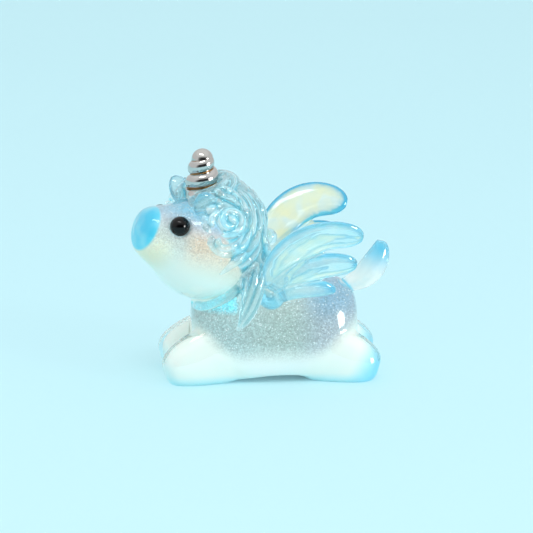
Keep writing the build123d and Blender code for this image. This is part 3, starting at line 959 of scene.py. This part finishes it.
    def build(self, effects: Effects, seam: NoseSeam) -> bpy.types.Material:
        """The poured resin, with zones laid out along the body's and the head's axes.

        Args:
            effects: the shared groups.
            seam: the edge of the nose.

        Returns:
            The material.
        """
        material, board, resin = surface("poured_resin")
        place = board.place()
        fore, under = (board.along(place, seam.bend, way) for way in (seam.fore, seam.under))
        nose = board.math("MULTIPLY", board.step(fore, *self.nose_edge), board.step(under, *self.nose_foot))
        legs = board.math("MAXIMUM", self.front_leg.mask(board, place), self.hind_leg.mask(board, place))
        near = board.step(board.away(place, HEAD.centre), *self.head_reach)
        in_head = board.math("MAXIMUM", near, self.muzzle_start.mask(board, place))
        head = self.face(board, place, nose, self.muzzle(effects, board, place, fore, under))
        colour = board.mix(in_head, self.trunk(board, place, legs), head)
        grain_body, grain_head = (
            board.math("MULTIPLY", slope.mask(board, place), board.math("SUBTRACT", 1.0, plain))
            for slope, plain in ((self.body_grain, legs), (self.head_grain, nose))
        )
        grain_head = board.math("MULTIPLY", grain_head, self.head_grain_share)
        grain = board.between(in_head, grain_body, grain_head)
        glitter = board.group(effects.glitter, place)
        shade = board.add("ShaderNodeCombineColor", dict.fromkeys(range(3), glitter.outputs["Shade"]))
        colour = board.mix(grain, colour, board.mix(1.0, colour, shade.outputs[0], "MULTIPLY"))
        # Painted glints laid into the base colour.
        spark = board.math("MULTIPLY", glitter.outputs["Spark"], grain)
        colour = board.mix(board.math("MULTIPLY", spark, self.painted_glint_share), colour, self.spark)
        board.feed(
            resin,
            {
                "Base Color": colour,
                "Roughness": self.roughness,
                "Specular IOR Level": self.specular,
                "Subsurface Weight": self.subsurface,
                "Subsurface Radius": self.scatter,
                "Subsurface Scale": self.scatter_depth * MM,
                "Normal": effects.wavy(board, place, *self.wave),
            },
        )
        return material


@dataclass(frozen=True)
class ShellFinish:
    """The clear outer pour, blue at the muzzle and the hooves."""

    clear: Colour = tint(228, 248, 252)
    nose: Colour = tint(216, 244, 250)
    nose_edge: Span = (-0.3, 0.5)
    hoof: Colour = tint(150, 226, 249)
    front_toe: Slope = Slope((-0.9, 0, -0.44), (-0.2, 1.6), (-12.9, 0, 0))
    hind_toe: Slope = Slope((0.9, 0, -0.44), (-0.2, 1.6), (11.3, 0, 0))
    roughness: float = 0.03
    ior: float = 1.42
    coat: float = 0.5
    coat_roughness: float = 0.02
    wave: Span = (0.4, 0.06)

    def build(self, effects: Effects, seam: NoseSeam) -> bpy.types.Material:
        """The clear resin.

        Args:
            effects: the shared groups.
            seam: the edge of the nose.

        Returns:
            The material.
        """
        material, board, resin = surface("clear_pour")
        place = board.place()
        nose = Zone(self.nose, (Slope(seam.fore, self.nose_edge, seam.bend),))
        hooves = (Zone(self.hoof, (toe,)) for toe in (self.front_toe, self.hind_toe))
        board.feed(
            resin,
            {
                "Base Color": layered(board, place, self.clear, nose, *hooves),
                "Roughness": self.roughness,
                "IOR": self.ior,
                "Transmission Weight": 1.0,
                "Coat Weight": self.coat,
                "Coat Roughness": self.coat_roughness,
                "Normal": effects.wavy(board, place, *self.wave),
            },
        )
        return material


@dataclass(frozen=True)
class ClearFinish:
    """Clear tinted resin with painted light on its ridges and painted shade in its grooves: near-white
    painted highlights on the hair's ridges, darker cyan painted rim shade on the ridges of wings, tail and
    ears.
    """

    name: str
    middle: Colour
    # Painted light: the ridge colour is a painted highlight on the hair and painted darker rim shade
    # elsewhere; the groove colour is painted shade.
    ridge: Colour
    groove: Colour
    transmission: float
    tip: Optional[Zone] = None
    patch: Optional[Colour] = None
    patch_share: float = 0.0
    patch_span: Span = (0.42, 0.62)
    painted_ridge_span: Span = (0.05, 0.6)
    groove_span: Span = (-0.05, -0.6)
    wave: float = 0.4
    wave_depth: float = 0.15
    roughness: float = 0.04
    ior: float = 1.45
    coat: float = 0.6
    coat_roughness: float = 0.02

    def build(self, effects: Effects) -> bpy.types.Material:
        """The clear resin, which turns to its tip colour along one way, is clouded with patches and takes
        painted light on its ridges and painted shade in its grooves.

        Args:
            effects: the shared groups.

        Returns:
            The material.
        """
        material, board, resin = surface(self.name)
        place = board.place()
        bulge = board.value_of("ridge")
        colour = self.tip.laid(board, place, self.middle) if self.tip else self.middle
        if self.patch:
            cloud = board.step(effects.height(board, place), *self.patch_span)
            colour = board.mix(board.math("MULTIPLY", cloud, self.patch_share), colour, self.patch)
        # Painted highlight and rim shade on the ridges, then painted shade in the grooves.
        colour = board.mix(board.step(bulge, *self.painted_ridge_span), colour, self.ridge)
        board.feed(
            resin,
            {
                "Base Color": board.mix(board.step(bulge, *self.groove_span), colour, self.groove),
                "Roughness": self.roughness,
                "IOR": self.ior,
                "Transmission Weight": self.transmission,
                "Coat Weight": self.coat,
                "Coat Roughness": self.coat_roughness,
                "Normal": effects.wavy(board, place, self.wave, self.wave_depth),
            },
        )
        return material


# Each finish's second colour is painted light on the ridges and its third is painted shade in the grooves.
HAIR_FINISH = ClearFinish(
    "hair_resin", tint(182, 222, 228), tint(242, 254, 255), tint(98, 190, 210), 0.82,
    # The tip zone colours the low front collar strand: partly the resin's cyan tint, partly a painted
    # highlight.
    tip=Zone(tint(164, 242, 255), (Slope((-0.9, 0.0, -0.44), (-1.2, 0.2)),)),
)
WING_FINISHES = {
    "left": ClearFinish(
        "near_wing_resin", tint(180, 232, 247), tint(140, 220, 244), tint(176, 232, 246), 0.76,
        tip=Zone(tint(238, 252, 250), (upward(10.2, 12.4),)),
        patch=tint(206, 244, 252), patch_share=0.7, painted_ridge_span=(0.04, 0.34), wave=0.5,
    ),
    "right": ClearFinish(
        "far_wing_resin", tint(248, 240, 202), tint(74, 188, 222), tint(226, 238, 220), 0.6,
        tip=Zone(tint(246, 242, 206), (upward(17.0, 20.0),)),
        patch=tint(226, 240, 240), patch_share=0.8, painted_ridge_span=(0.02, 0.22), wave=0.9,
    ),
}
TAIL_FINISH = ClearFinish(
    "tail_resin", tint(255, 254, 250), tint(140, 220, 242), tint(210, 240, 245), 0.5,
    tip=Zone(tint(112, 208, 238), (upward(11.6, 15.6),)),
    patch=tint(190, 216, 210), patch_share=0.3, painted_ridge_span=(0.1, 0.5), wave=0.9,
)
EAR_FINISH = ClearFinish("ear_resin", tint(222, 242, 244), tint(130, 212, 238), tint(120, 206, 232), 0.8)


@dataclass(frozen=True)
class PlateFinish:
    """Bright plating with a brown tarnish between the turns of the coil."""

    plate: Colour = tint(206, 205, 202)
    tarnish: Colour = tint(150, 112, 66)
    groove_span: Span = (0.0, -0.5)
    roughness: float = 0.08
    dullness: float = 0.2
    wave: Span = (0.3, 0.05)

    def build(self, effects: Effects) -> bpy.types.Material:
        """The plating, tarnished where the skin's ridge value falls below zero.

        Args:
            effects: the shared groups.

        Returns:
            The material.
        """
        material, board, metal = surface("bright_plate")
        groove = board.step(board.value_of("ridge"), *self.groove_span)
        board.feed(
            metal,
            {
                "Base Color": board.mix(groove, self.plate, self.tarnish),
                "Metallic": 1.0,
                "Roughness": board.math("MULTIPLY_ADD", groove, self.dullness, self.roughness),
                "Normal": effects.wavy(board, board.place(), *self.wave),
            },
        )
        return material


@dataclass(frozen=True)
class BeadFinish:
    """A glossy black bead with a trace of dust in its skin."""

    dark: Colour = tint(5, 5, 6)
    worn: Colour = tint(12, 12, 13)
    worn_span: Span = (0.4, 0.7)
    roughness: float = 0.05
    specular: float = 0.3

    def build(self, effects: Effects) -> bpy.types.Material:
        """The black bead.

        Args:
            effects: the shared groups.

        Returns:
            The material.
        """
        material, board, bead = surface("black_bead")
        worn = board.step(effects.height(board, board.place()), *self.worn_span)
        colour = board.mix(worn, self.dark, self.worn)
        feeds = {"Base Color": colour, "Roughness": self.roughness, "Specular IOR Level": self.specular}
        board.feed(bead, feeds)
        return material


@dataclass
class Body:
    """Torso, head, muzzle, legs and hooves: one clear skin, and the fill inside it."""

    voxel: float = 0.17
    rounds: int = 9
    fill_voxel: float = 0.2
    fill_rounds: int = 30
    leg_half: Span = (2.3, 3.8)
    leg_lift: float = 3.3
    leg_out: float = 3.35
    leg_roots: tuple[tuple[str, float, int], ...] = (("front", -5.3, 1), ("hind", 7.5, -1))
    run: float = 4.2
    run_share: float = 0.97
    run_start: float = -0.25
    run_steps: int = 24
    run_around: int = 28
    torso_draw: Triple = (0.93, 0.87, 0.93)
    head_draw: Triple = (0.94, 0.94, 0.94)
    leg_draw: Triple = (0.87, 0.76, 0.88)
    torso_core: Triple = (1.6, 0.0, 0.5)
    leg_core: float = 0.3
    plug: float = 1.25
    wing_socket: Triple = (1.0, 3.1, 10.2)
    tail_socket: Triple = (9.6, 0.0, 10.1)
    fill_wing_socket: Triple = (1.0, 2.6, 9.6)
    fill_tail_socket: Triple = (8.9, 0.0, 9.4)
    neck: Triple = (-5.75, 0.0, 8.3)
    neck_plug: float = 1.9

    def fairing(self, root: float, way: float, side: Side) -> Shell:
        """The thick end of a leg run out into the barrel, flat at the floor.

        The section shrinks as sqrt(1 - t^2) and its foot rises with the belly arch.

        Args:
            root: where the leg ends, along X.
            way: 1 to run it out towards the rump, -1 towards the chest.
            side: the leg's side.

        Returns:
            The shell, in millimetres.
        """
        along = np.sin(np.linspace(self.run_start, 1, self.run_steps) * math.pi / 2)
        full = self.run_share * np.sqrt(np.maximum(1 - np.maximum(along, 0) ** 2, 0))
        path = np.empty((self.run_steps, 3))
        path[:, 0] = root + way * self.run * along
        path[:, 1:] = (-self.leg_out * side.value, self.leg_lift)
        upright = np.tile((0.0, 0.0, 1.0), (self.run_steps, 1))
        wide, tall = (half * full for half in self.leg_half)
        points, faces = tube(path, upright, wide, tall, self.run_around)
        points[:, 2] = np.maximum(points[:, 2], 0)
        return points, faces

    def plugs(self, wing_socket: Triple, tail_socket: Triple) -> list[Shell]:
        """Balls that stop the sockets which the wings and the tail are pegged into.

        Args:
            wing_socket: the right one; the left one mirrors it.
            tail_socket: the tail's.

        Returns:
            Three shells.
        """
        x, y, z = wing_socket
        places = [(x, -y * side.value, z) for side in Side] + [tail_socket]
        return [ball(place, self.plug) for place in places]

    def build(self) -> bpy.types.Object:
        """Pours the clear skin.

        Returns:
            The piece.
        """
        ends = [end for end, _, _ in self.leg_roots]
        sides = [side.name.lower() for side in Side]
        legs = [f"{end}_{side}_{part}" for end in ends for side in sides for part in ("leg", "hoof")]
        nodes = ("torso", "head", "muzzle", *legs)
        pour = Casting("poured_body", Slot.GLITTER, nodes, self.voxel, self.rounds, clear=True)
        pour.shells.extend(node_shell(name) for name in nodes)
        pour.shells.extend(self.plugs(self.wing_socket, self.tail_socket))
        for side in Side:
            pour.shells.extend(self.fairing(root, way, side) for _, root, way in self.leg_roots)
        return pour.build()

    def fill(self) -> bpy.types.Object:
        """Pours the milky and glittering fill, drawn in from the clear skin.

        Returns:
            The piece.
        """
        pour = Casting("glitter_fill", Slot.GLITTER, (), self.fill_voxel, self.fill_rounds)
        pour.shells.append(drawn_in(node_shell("torso"), self.torso_core, self.torso_draw))
        for name in ("head", "muzzle"):
            pour.shells.append(drawn_in(node_shell(name), HEAD.centre, self.head_draw))
        for side in Side:
            for end, root, way in self.leg_roots:
                names = (f"{end}_{side.name.lower()}_{part}" for part in ("leg", "hoof"))
                core = (root, -self.leg_out * side.value, self.leg_core)
                for shell in (*map(node_shell, names), self.fairing(root, way, side)):
                    pour.shells.append(drawn_in(shell, core, self.leg_draw))
        pour.shells.extend(self.plugs(self.fill_wing_socket, self.fill_tail_socket))
        pour.shells.append(ball(self.neck, self.neck_plug))
        return pour.build()

    def dress(self, effects: Effects, skin: Skin) -> None:
        """Pours skin and fill and gives them their finishes.

        Args:
            effects: the shared groups.
            skin: what the nose's edge is laid on.
        """
        seam = NoseSeam.seen(skin)
        coat(self.build(), ShellFinish().build(effects, seam))
        coat(self.fill(), BodyFinish().build(effects, seam))


@dataclass(frozen=True)
class Strand:
    """One strand of hair, laid on what is seen behind pixels of the photograph."""

    pixels: tuple[Span, ...]
    radius: float
    start: float = 0.15
    end: float = 0.3
    on_head: bool = True


STRANDS = (
    Strand(((220, 187), (230, 193), (239, 201), (245, 212), (247, 222)), 0.50),
    Strand(((214, 190), (223, 196), (232, 200), (239, 206)), 0.45),
    Strand(((209, 193), (214, 199), (222, 203)), 0.40),
    Strand(
        (
            (228, 221), (231, 218), (234, 222), (231, 227), (225, 227), (221, 222), (223, 214),
            (230, 210), (238, 213), (242, 222), (239, 232), (230, 236), (220, 234),
        ),
        0.55, 0.05, 0.1,
    ),
    Strand(((216, 206), (209, 211), (205.5, 219), (206.5, 227), (212, 233)), 0.50),
    Strand(((220, 211), (214, 215), (211.5, 221), (213, 228)), 0.40),
    Strand(((213, 235), (211.5, 242), (216, 250), (226, 254), (237, 250), (246, 241), (251, 229)), 0.55),
    Strand(((219, 238), (218, 243), (222, 247), (229, 247), (237, 243), (243, 235)), 0.45),
    Strand(((246, 252), (238, 260), (228, 268), (218.5, 275)), 0.50, 0.3, 0.6),
    Strand(((257, 262), (251, 271), (243, 278), (236, 283)), 0.45, 0.15, 0.5),
    Strand(((263, 252), (263, 270), (258, 290), (251, 309), (240, 327)), 0.45, 0.15, 0.5, False),
    Strand(((257, 262), (255, 280), (249, 300), (241, 322)), 0.40, 0.15, 0.5, False),
    Strand(((250, 270), (248, 286), (243, 304)), 0.40, 0.15, 0.5, False),
    Strand(((245, 276), (241, 291), (237, 304)), 0.35, 0.15, 0.5, False),
    Strand(((194, 304), (204, 307), (215, 304), (227, 298), (238, 289), (247, 279)), 0.60, 0.1, 0.2, False),
)


@dataclass
class Hair:
    """Mane, forelock, rosettes, locks and nape bead in one skin of strands."""

    voxel: float = 0.12
    rounds: int = 3
    samples: int = 40
    lift: float = 0.3
    laid_rounds: tuple[int, int] = (6, 10)
    back_rounds: tuple[int, int] = (4, 8)
    back_turns: tuple[float, ...] = (-38.5, -23.5, -6, 6, 23.5, 38.5)
    back_radius: float = 0.42
    back_ends: Span = (0.2, 0.35)
    back_top: float = 7.2
    back_fall: float = 12.2
    back_spread: float = 0.1
    back_swing: float = 3.0
    back_waves: float = 0.8
    twist_radius: float = 3.19
    twist_height: float = 6.9
    twist_tilt: float = 15.0
    twist_strands: int = 6
    twist_turns: float = 1.6
    twist_half: float = 0.85
    twist_rope: float = 0.5
    twist_ends: Span = (0.11, 0.89)
    twist_fullness: float = 1.25

    def laid(self, strand: Strand, skin: Skin) -> list[Shell]:
        """A strand on the left and its mirror image on the right.

        Args:
            strand: the strand.
            skin: what it is laid on.

        Returns:
            Two shells.
        """
        pixels = curve_through(np.array(strand.pixels, dtype=float), self.samples)
        path, normals = skin.seen(pixels)
        path, normals = eased(path, self.laid_rounds[0]), unit(eased(normals, self.laid_rounds[1]))
        size = strand.radius * tapered(self.samples, strand.start, strand.end)
        path = path + normals * (self.lift * size)[:, None]
        if strand.on_head:
            centre = np.array(HEAD.centre)
            other, other_normals = HEAD.mirrored(path), HEAD.mirrored(normals + centre) - centre
        else:
            flip = np.array((1, -1, 1))
            other, other_normals = path * flip, normals * flip
        return [tube(path, normals, size, size), tube(other, other_normals, size, size)]

    def fallen(self, turn: float, scalp: Skin) -> Shell:
        """A fine strand down the back of the head, which swings to either side on its way.

        Args:
            turn: degrees from the nape.
            scalp: what it lies on.

        Returns:
            The shell.
        """
        along = np.linspace(0, 1, self.samples)
        swing = self.back_swing * np.sin(math.tau * self.back_waves * along + turn)
        turns = turn * (1 + self.back_spread * along) + swing
        path, normals = scalp.around(turns, self.back_top - self.back_fall * along)
        path, normals = eased(path, self.back_rounds[0]), unit(eased(normals, self.back_rounds[1]))
        size = self.back_radius * tapered(self.samples, *self.back_ends)
        return tube(path + normals * (self.lift * size)[:, None], normals, size, size)

    def twisted(self, index: int) -> Shell:
        """A strand wound round the forelock's ring, from one side of the brow to the other.

        Args:
            index: the strand's number.

        Returns:
            The shell.
        """
        share = np.linspace(*self.twist_ends, 3 * self.samples)
        turn = math.tau * share
        back = -self.twist_radius * np.cos(turn)
        right = -self.twist_radius * np.sin(turn)
        up = self.twist_height + back * math.sin(math.radians(self.twist_tilt))
        ring = np.array([HEAD.point(*place) for place in zip(back, right, up)])
        out = unit(ring - ring.mean(axis=0)) * np.array((1, 1, 0)) + np.array((TINY, 0, 0))
        wind = math.tau * (index / self.twist_strands + self.twist_turns * share)
        bow = np.sqrt(np.sin(math.pi * np.linspace(0, 1, len(share))))
        full = np.minimum(1, bow * self.twist_fullness)
        swing = np.cos(wind)[:, None] * unit(out) + np.sin(wind)[:, None] * np.array((0, 0, 1.0))
        path = ring + swing * (self.twist_half * full)[:, None]
        size = self.twist_rope * full
        return tube(path, swing, size, size)

    def build(self, skin: Skin) -> bpy.types.Object:
        """Pours the hair over its strands.

        Args:
            skin: what the seen strands are laid on.

        Returns:
            The piece.
        """
        scalp = Skin(("head", "mane"))
        poured = ("mane", "forelock", "left_lock", "right_lock", "nape_curl")
        nodes = ("mane", "forelock", "left_curl", "right_curl", "left_lock", "right_lock", "nape_curl")
        pour = Casting("clear_hair", Slot.CLEAR, nodes, self.voxel, self.rounds, clear=True)
        pour.shells.extend(node_shell(name) for name in poured)
        for strand in STRANDS:
            pour.shells.extend(self.laid(strand, skin))
        pour.shells.extend(self.fallen(turn, scalp) for turn in self.back_turns)
        pour.shells.extend(self.twisted(index) for index in range(self.twist_strands))
        return pour.build()

    def dress(self, effects: Effects, skin: Skin) -> None:
        """Pours the hair and gives it its finish."""
        coat(self.build(skin), HAIR_FINISH.build(effects))


@dataclass
class Horn:
    """A plated rope wound down from a ball tip, right-handed and widening to its foot."""

    axis: Span = (-6.87, 0.0)
    voxel: float = 0.06
    rounds: int = 2
    samples: int = 140
    ball: float = 1.32
    ball_height: float = 26.61
    ball_around: int = 28
    top: float = 26.45
    pitch: float = 1.70
    turns: float = 2.45
    coil: Span = (0.26, 1.42)
    rope: Span = (1.02, 0.86)
    rope_ends: Span = (0.02, 0.02)
    rope_around: int = 20
    skirt: float = 2.05
    skirt_heights: Span = (21.94, 23.1)
    skirt_lip: float = 0.001
    skirt_around: int = 40

    def build(self) -> bpy.types.Object:
        """Winds the rope: (r cos a, -r sin a, top - pitch a / tau).

        The radius r grows with the root of the way down.

        Returns:
            The piece.
        """
        share = np.linspace(0, 1, self.samples)
        turn = math.tau * self.turns * share
        radius = self.coil[0] + (self.coil[1] - self.coil[0]) * np.sqrt(share)
        out = np.stack((np.cos(turn), -np.sin(turn), np.zeros_like(turn)), axis=-1)
        axis = np.array((*self.axis, 0.0))
        path = axis + out * radius[:, None]
        path[:, 2] = self.top - self.pitch * self.turns * share
        rope = self.rope[0] + (self.rope[1] - self.rope[0]) * share
        rope = rope * tapered(self.samples, *self.rope_ends)
        pour = Casting("plated_horn", Slot.PLATED, ("horn",), self.voxel, self.rounds)
        pour.shells.append(tube(path, out, rope, rope, self.rope_around))
        pour.shells.append(ball((*self.axis, self.ball_height), self.ball, self.ball_around))
        stem = np.tile(axis, (4, 1))
        stem[:, 2] = np.repeat(self.skirt_heights, 2) + self.skirt_lip * np.array((0, 1, 0, 1))
        wide = self.skirt * np.array((0, 1, 1, 0))
        upright = np.tile((0.0, 1.0, 0.0), (4, 1))
        pour.shells.append(tube(stem, upright, wide, wide, self.skirt_around))
        return pour.build()

    def dress(self, effects: Effects) -> None:
        """Winds the horn and plates it."""
        coat(self.build(), PlateFinish().build(effects))


@dataclass
class ClearPiece:
    """One CAD node as a rounded clear casting, grown about its own middle."""

    node: str
    voxel: float
    rounds: int
    grown: float = 1.0

    def build(self) -> bpy.types.Object:
        """Pours the casting.

        Returns:
            The piece.
        """
        name = f"{self.node}_resin"
        pour = Casting(name, Slot.CLEAR, (self.node,), self.voxel, self.rounds, clear=True)
        points, faces = node_shell(self.node)
        middle = (points.min(axis=0) + points.max(axis=0)) / 2
        pour.shells.append(drawn_in((points, faces), middle, (self.grown,) * 3))
        return pour.build()

    def dress(self, material: bpy.types.Material) -> None:
        """Pours the casting and gives it its finish."""
        coat(self.build(), material)


@dataclass
class Eyes:
    """The two beads, which keep their CAD shape."""

    names: tuple[str, ...] = EYES

    def dress(self, effects: Effects) -> None:
        """Gives the beads their finish.

        Args:
            effects: the shared groups.
        """
        bead = BeadFinish().build(effects)
        for name in self.names:
            coat(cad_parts[name], bead)
            LOG.info("%s: CAD shape", name)


@dataclass(frozen=True)
class Lamp:
    """A soft light that faces the figurine, in metres and watts."""

    name: str
    place: Triple
    size: Span
    power: float
    aim: Triple = (0.0, 0.0, 0.014)

    def build(self) -> None:
        """Hangs the light."""
        data = bpy.data.lights.new(self.name, "AREA")
        data.shape = "RECTANGLE"
        data.size, data.size_y = self.size
        data.energy = self.power
        lamp = bpy.data.objects.new(self.name, data)
        bpy.context.scene.collection.objects.link(lamp)
        lamp.location = self.place
        away = Vector(self.place) - Vector(self.aim)
        lamp.rotation_euler = away.to_track_quat("Z", "Y").to_euler()


@dataclass
class Studio:
    """Pale floor, even surroundings and soft lights, in metres."""

    floor_half: float = 3.0
    floor_drop: float = 3e-5
    floor_roughness: float = 0.9
    floor_specular: float = 0.1
    cloud_scale: float = 0.02
    cloud_depth: float = 0.985
    own_glow: float = 0.12
    glow_through: float = 0.75
    pale: Colour = tint(200, 243, 252)
    even: Colour = (0.88, 0.88, 0.88, 1.0)
    overhead: Colour = (1.25, 1.3, 1.3, 1.0)
    overhead_rise: Span = (0.15, 0.6)
    front_depth: Span = (-0.45, -0.9)
    through_front: Colour = (0.50, 0.90, 1.0, 1.0)
    mirrored_sides: Colour = (0.74, 0.75, 0.76, 1.0)
    mirrored_front: Colour = (0.035, 0.036, 0.038, 1.0)
    mirrored_roof: Colour = (0.9, 0.9, 0.9, 1.0)
    roof_rise: Span = (0.45, 0.8)
    window: Zone = Zone((16.0, 16.0, 16.0, 1.0), (Slope((0.80, -0.59, 0.13), (0.978, 0.989)),))
    lamps: tuple[Lamp, ...] = (
        Lamp("top_light", (-0.06, -0.14, 0.38), (0.22, 0.06), 0.30),
        Lamp("side_light", (0.31, -0.24, 0.07), (0.07, 0.07), 0.27),
    )

    def floor(self) -> None:
        """A pale matt floor, which shows its own colour to the camera and through clear resin."""
        half, drop = self.floor_half, -self.floor_drop
        mesh = bpy.data.meshes.new("floor")
        corners = [(-half, -half, drop), (half, -half, drop), (half, half, drop), (-half, half, drop)]
        mesh.from_pydata(corners, [], [(0, 1, 2, 3)])
        item = bpy.data.objects.new("floor", mesh)
        bpy.context.scene.collection.objects.link(item)
        material, board, matt = surface("pale_floor")
        cloud = board.add("ShaderNodeTexNoise", {"Vector": board.place(), "Scale": self.cloud_scale})
        deeper = tuple(self.cloud_depth * value for value in self.pale[:3]) + (1.0,)
        colour = board.mix(cloud.outputs[0], self.pale, deeper)
        feeds = {"Roughness": self.floor_roughness, "Specular IOR Level": self.floor_specular}
        board.feed(matt, {"Base Color": colour, **feeds})
        path = board.add("ShaderNodeLightPath").outputs
        straight = board.math("MULTIPLY", path["Is Camera Ray"], self.own_glow)
        through = board.math("MULTIPLY", path["Is Transmission Ray"], self.glow_through)
        plain = board.add("ShaderNodeEmission", {"Color": self.pale})
        share = board.math("MAXIMUM", straight, through)
        blend = board.add("ShaderNodeMixShader", {0: share, 1: matt.outputs[0], 2: plain.outputs[0]})
        board.feed(material.node_tree.nodes["Material Output"], {"Surface": blend.outputs[0]})
        coat(item, material)

    def surroundings(self) -> None:
        """Even light, pale to the camera; what mirrors it sees a dark front and a bright window."""
        world = bpy.data.worlds.new("surroundings")
        bpy.context.scene.world = world
        world.use_nodes = True
        board = Board(world.node_tree)
        heading = board.add("ShaderNodeTexCoord").outputs["Generated"]
        way = board.add("ShaderNodeSeparateXYZ", {0: heading}).outputs
        path = board.add("ShaderNodeLightPath").outputs
        front = board.step(way["Y"], *self.front_depth)
        mirrored = board.mix(front, self.mirrored_sides, self.mirrored_front)
        mirrored = board.mix(board.step(way["Z"], *self.roof_rise), mirrored, self.mirrored_roof)
        mirrored = self.window.laid(board, heading, mirrored)
        through = board.mix(front, self.pale, self.through_front)
        through = board.mix(board.step(way["Z"], *self.overhead_rise), through, self.overhead)
        colour = board.mix(path["Is Glossy Ray"], self.even, mirrored)
        scattered = board.math("MINIMUM", path["Diffuse Depth"], 1.0)
        passed = board.math("MINIMUM", path["Transmission Depth"], 1.0)
        clear_ray = board.math("MULTIPLY", passed, board.math("SUBTRACT", 1.0, scattered))
        colour = board.mix(clear_ray, colour, through)
        colour = board.mix(path["Is Camera Ray"], colour, self.pale)
        board.feed(world.node_tree.nodes["Background"], {"Color": colour})

    def build(self) -> None:
        """Sets up the whole studio."""
        self.floor()
        self.surroundings()
        for lamp in self.lamps:
            lamp.build()
        bpy.context.scene.view_settings.view_transform = "Standard"


def main() -> None:
    """Builds and dresses every piece."""
    skin = Skin(("head", "muzzle", "mane", "torso", "left_lock", "forelock", "left_curl"))
    effects = Effects.build()
    Body().dress(effects, skin)
    Hair().dress(effects, skin)
    tail, ear = TAIL_FINISH.build(effects), EAR_FINISH.build(effects)
    for side in ("left", "right"):
        ClearPiece(f"{side}_wing", voxel=0.11, rounds=5).dress(WING_FINISHES[side].build(effects))
        ClearPiece(f"{side}_ear", voxel=0.08, rounds=4, grown=1.18).dress(ear)
    ClearPiece("tail", voxel=0.10, rounds=5).dress(tail)
    Eyes().dress(effects)
    Horn().dress(effects)
    SHOT.build()
    Studio().build()


if __name__ == "__main__":
    main()
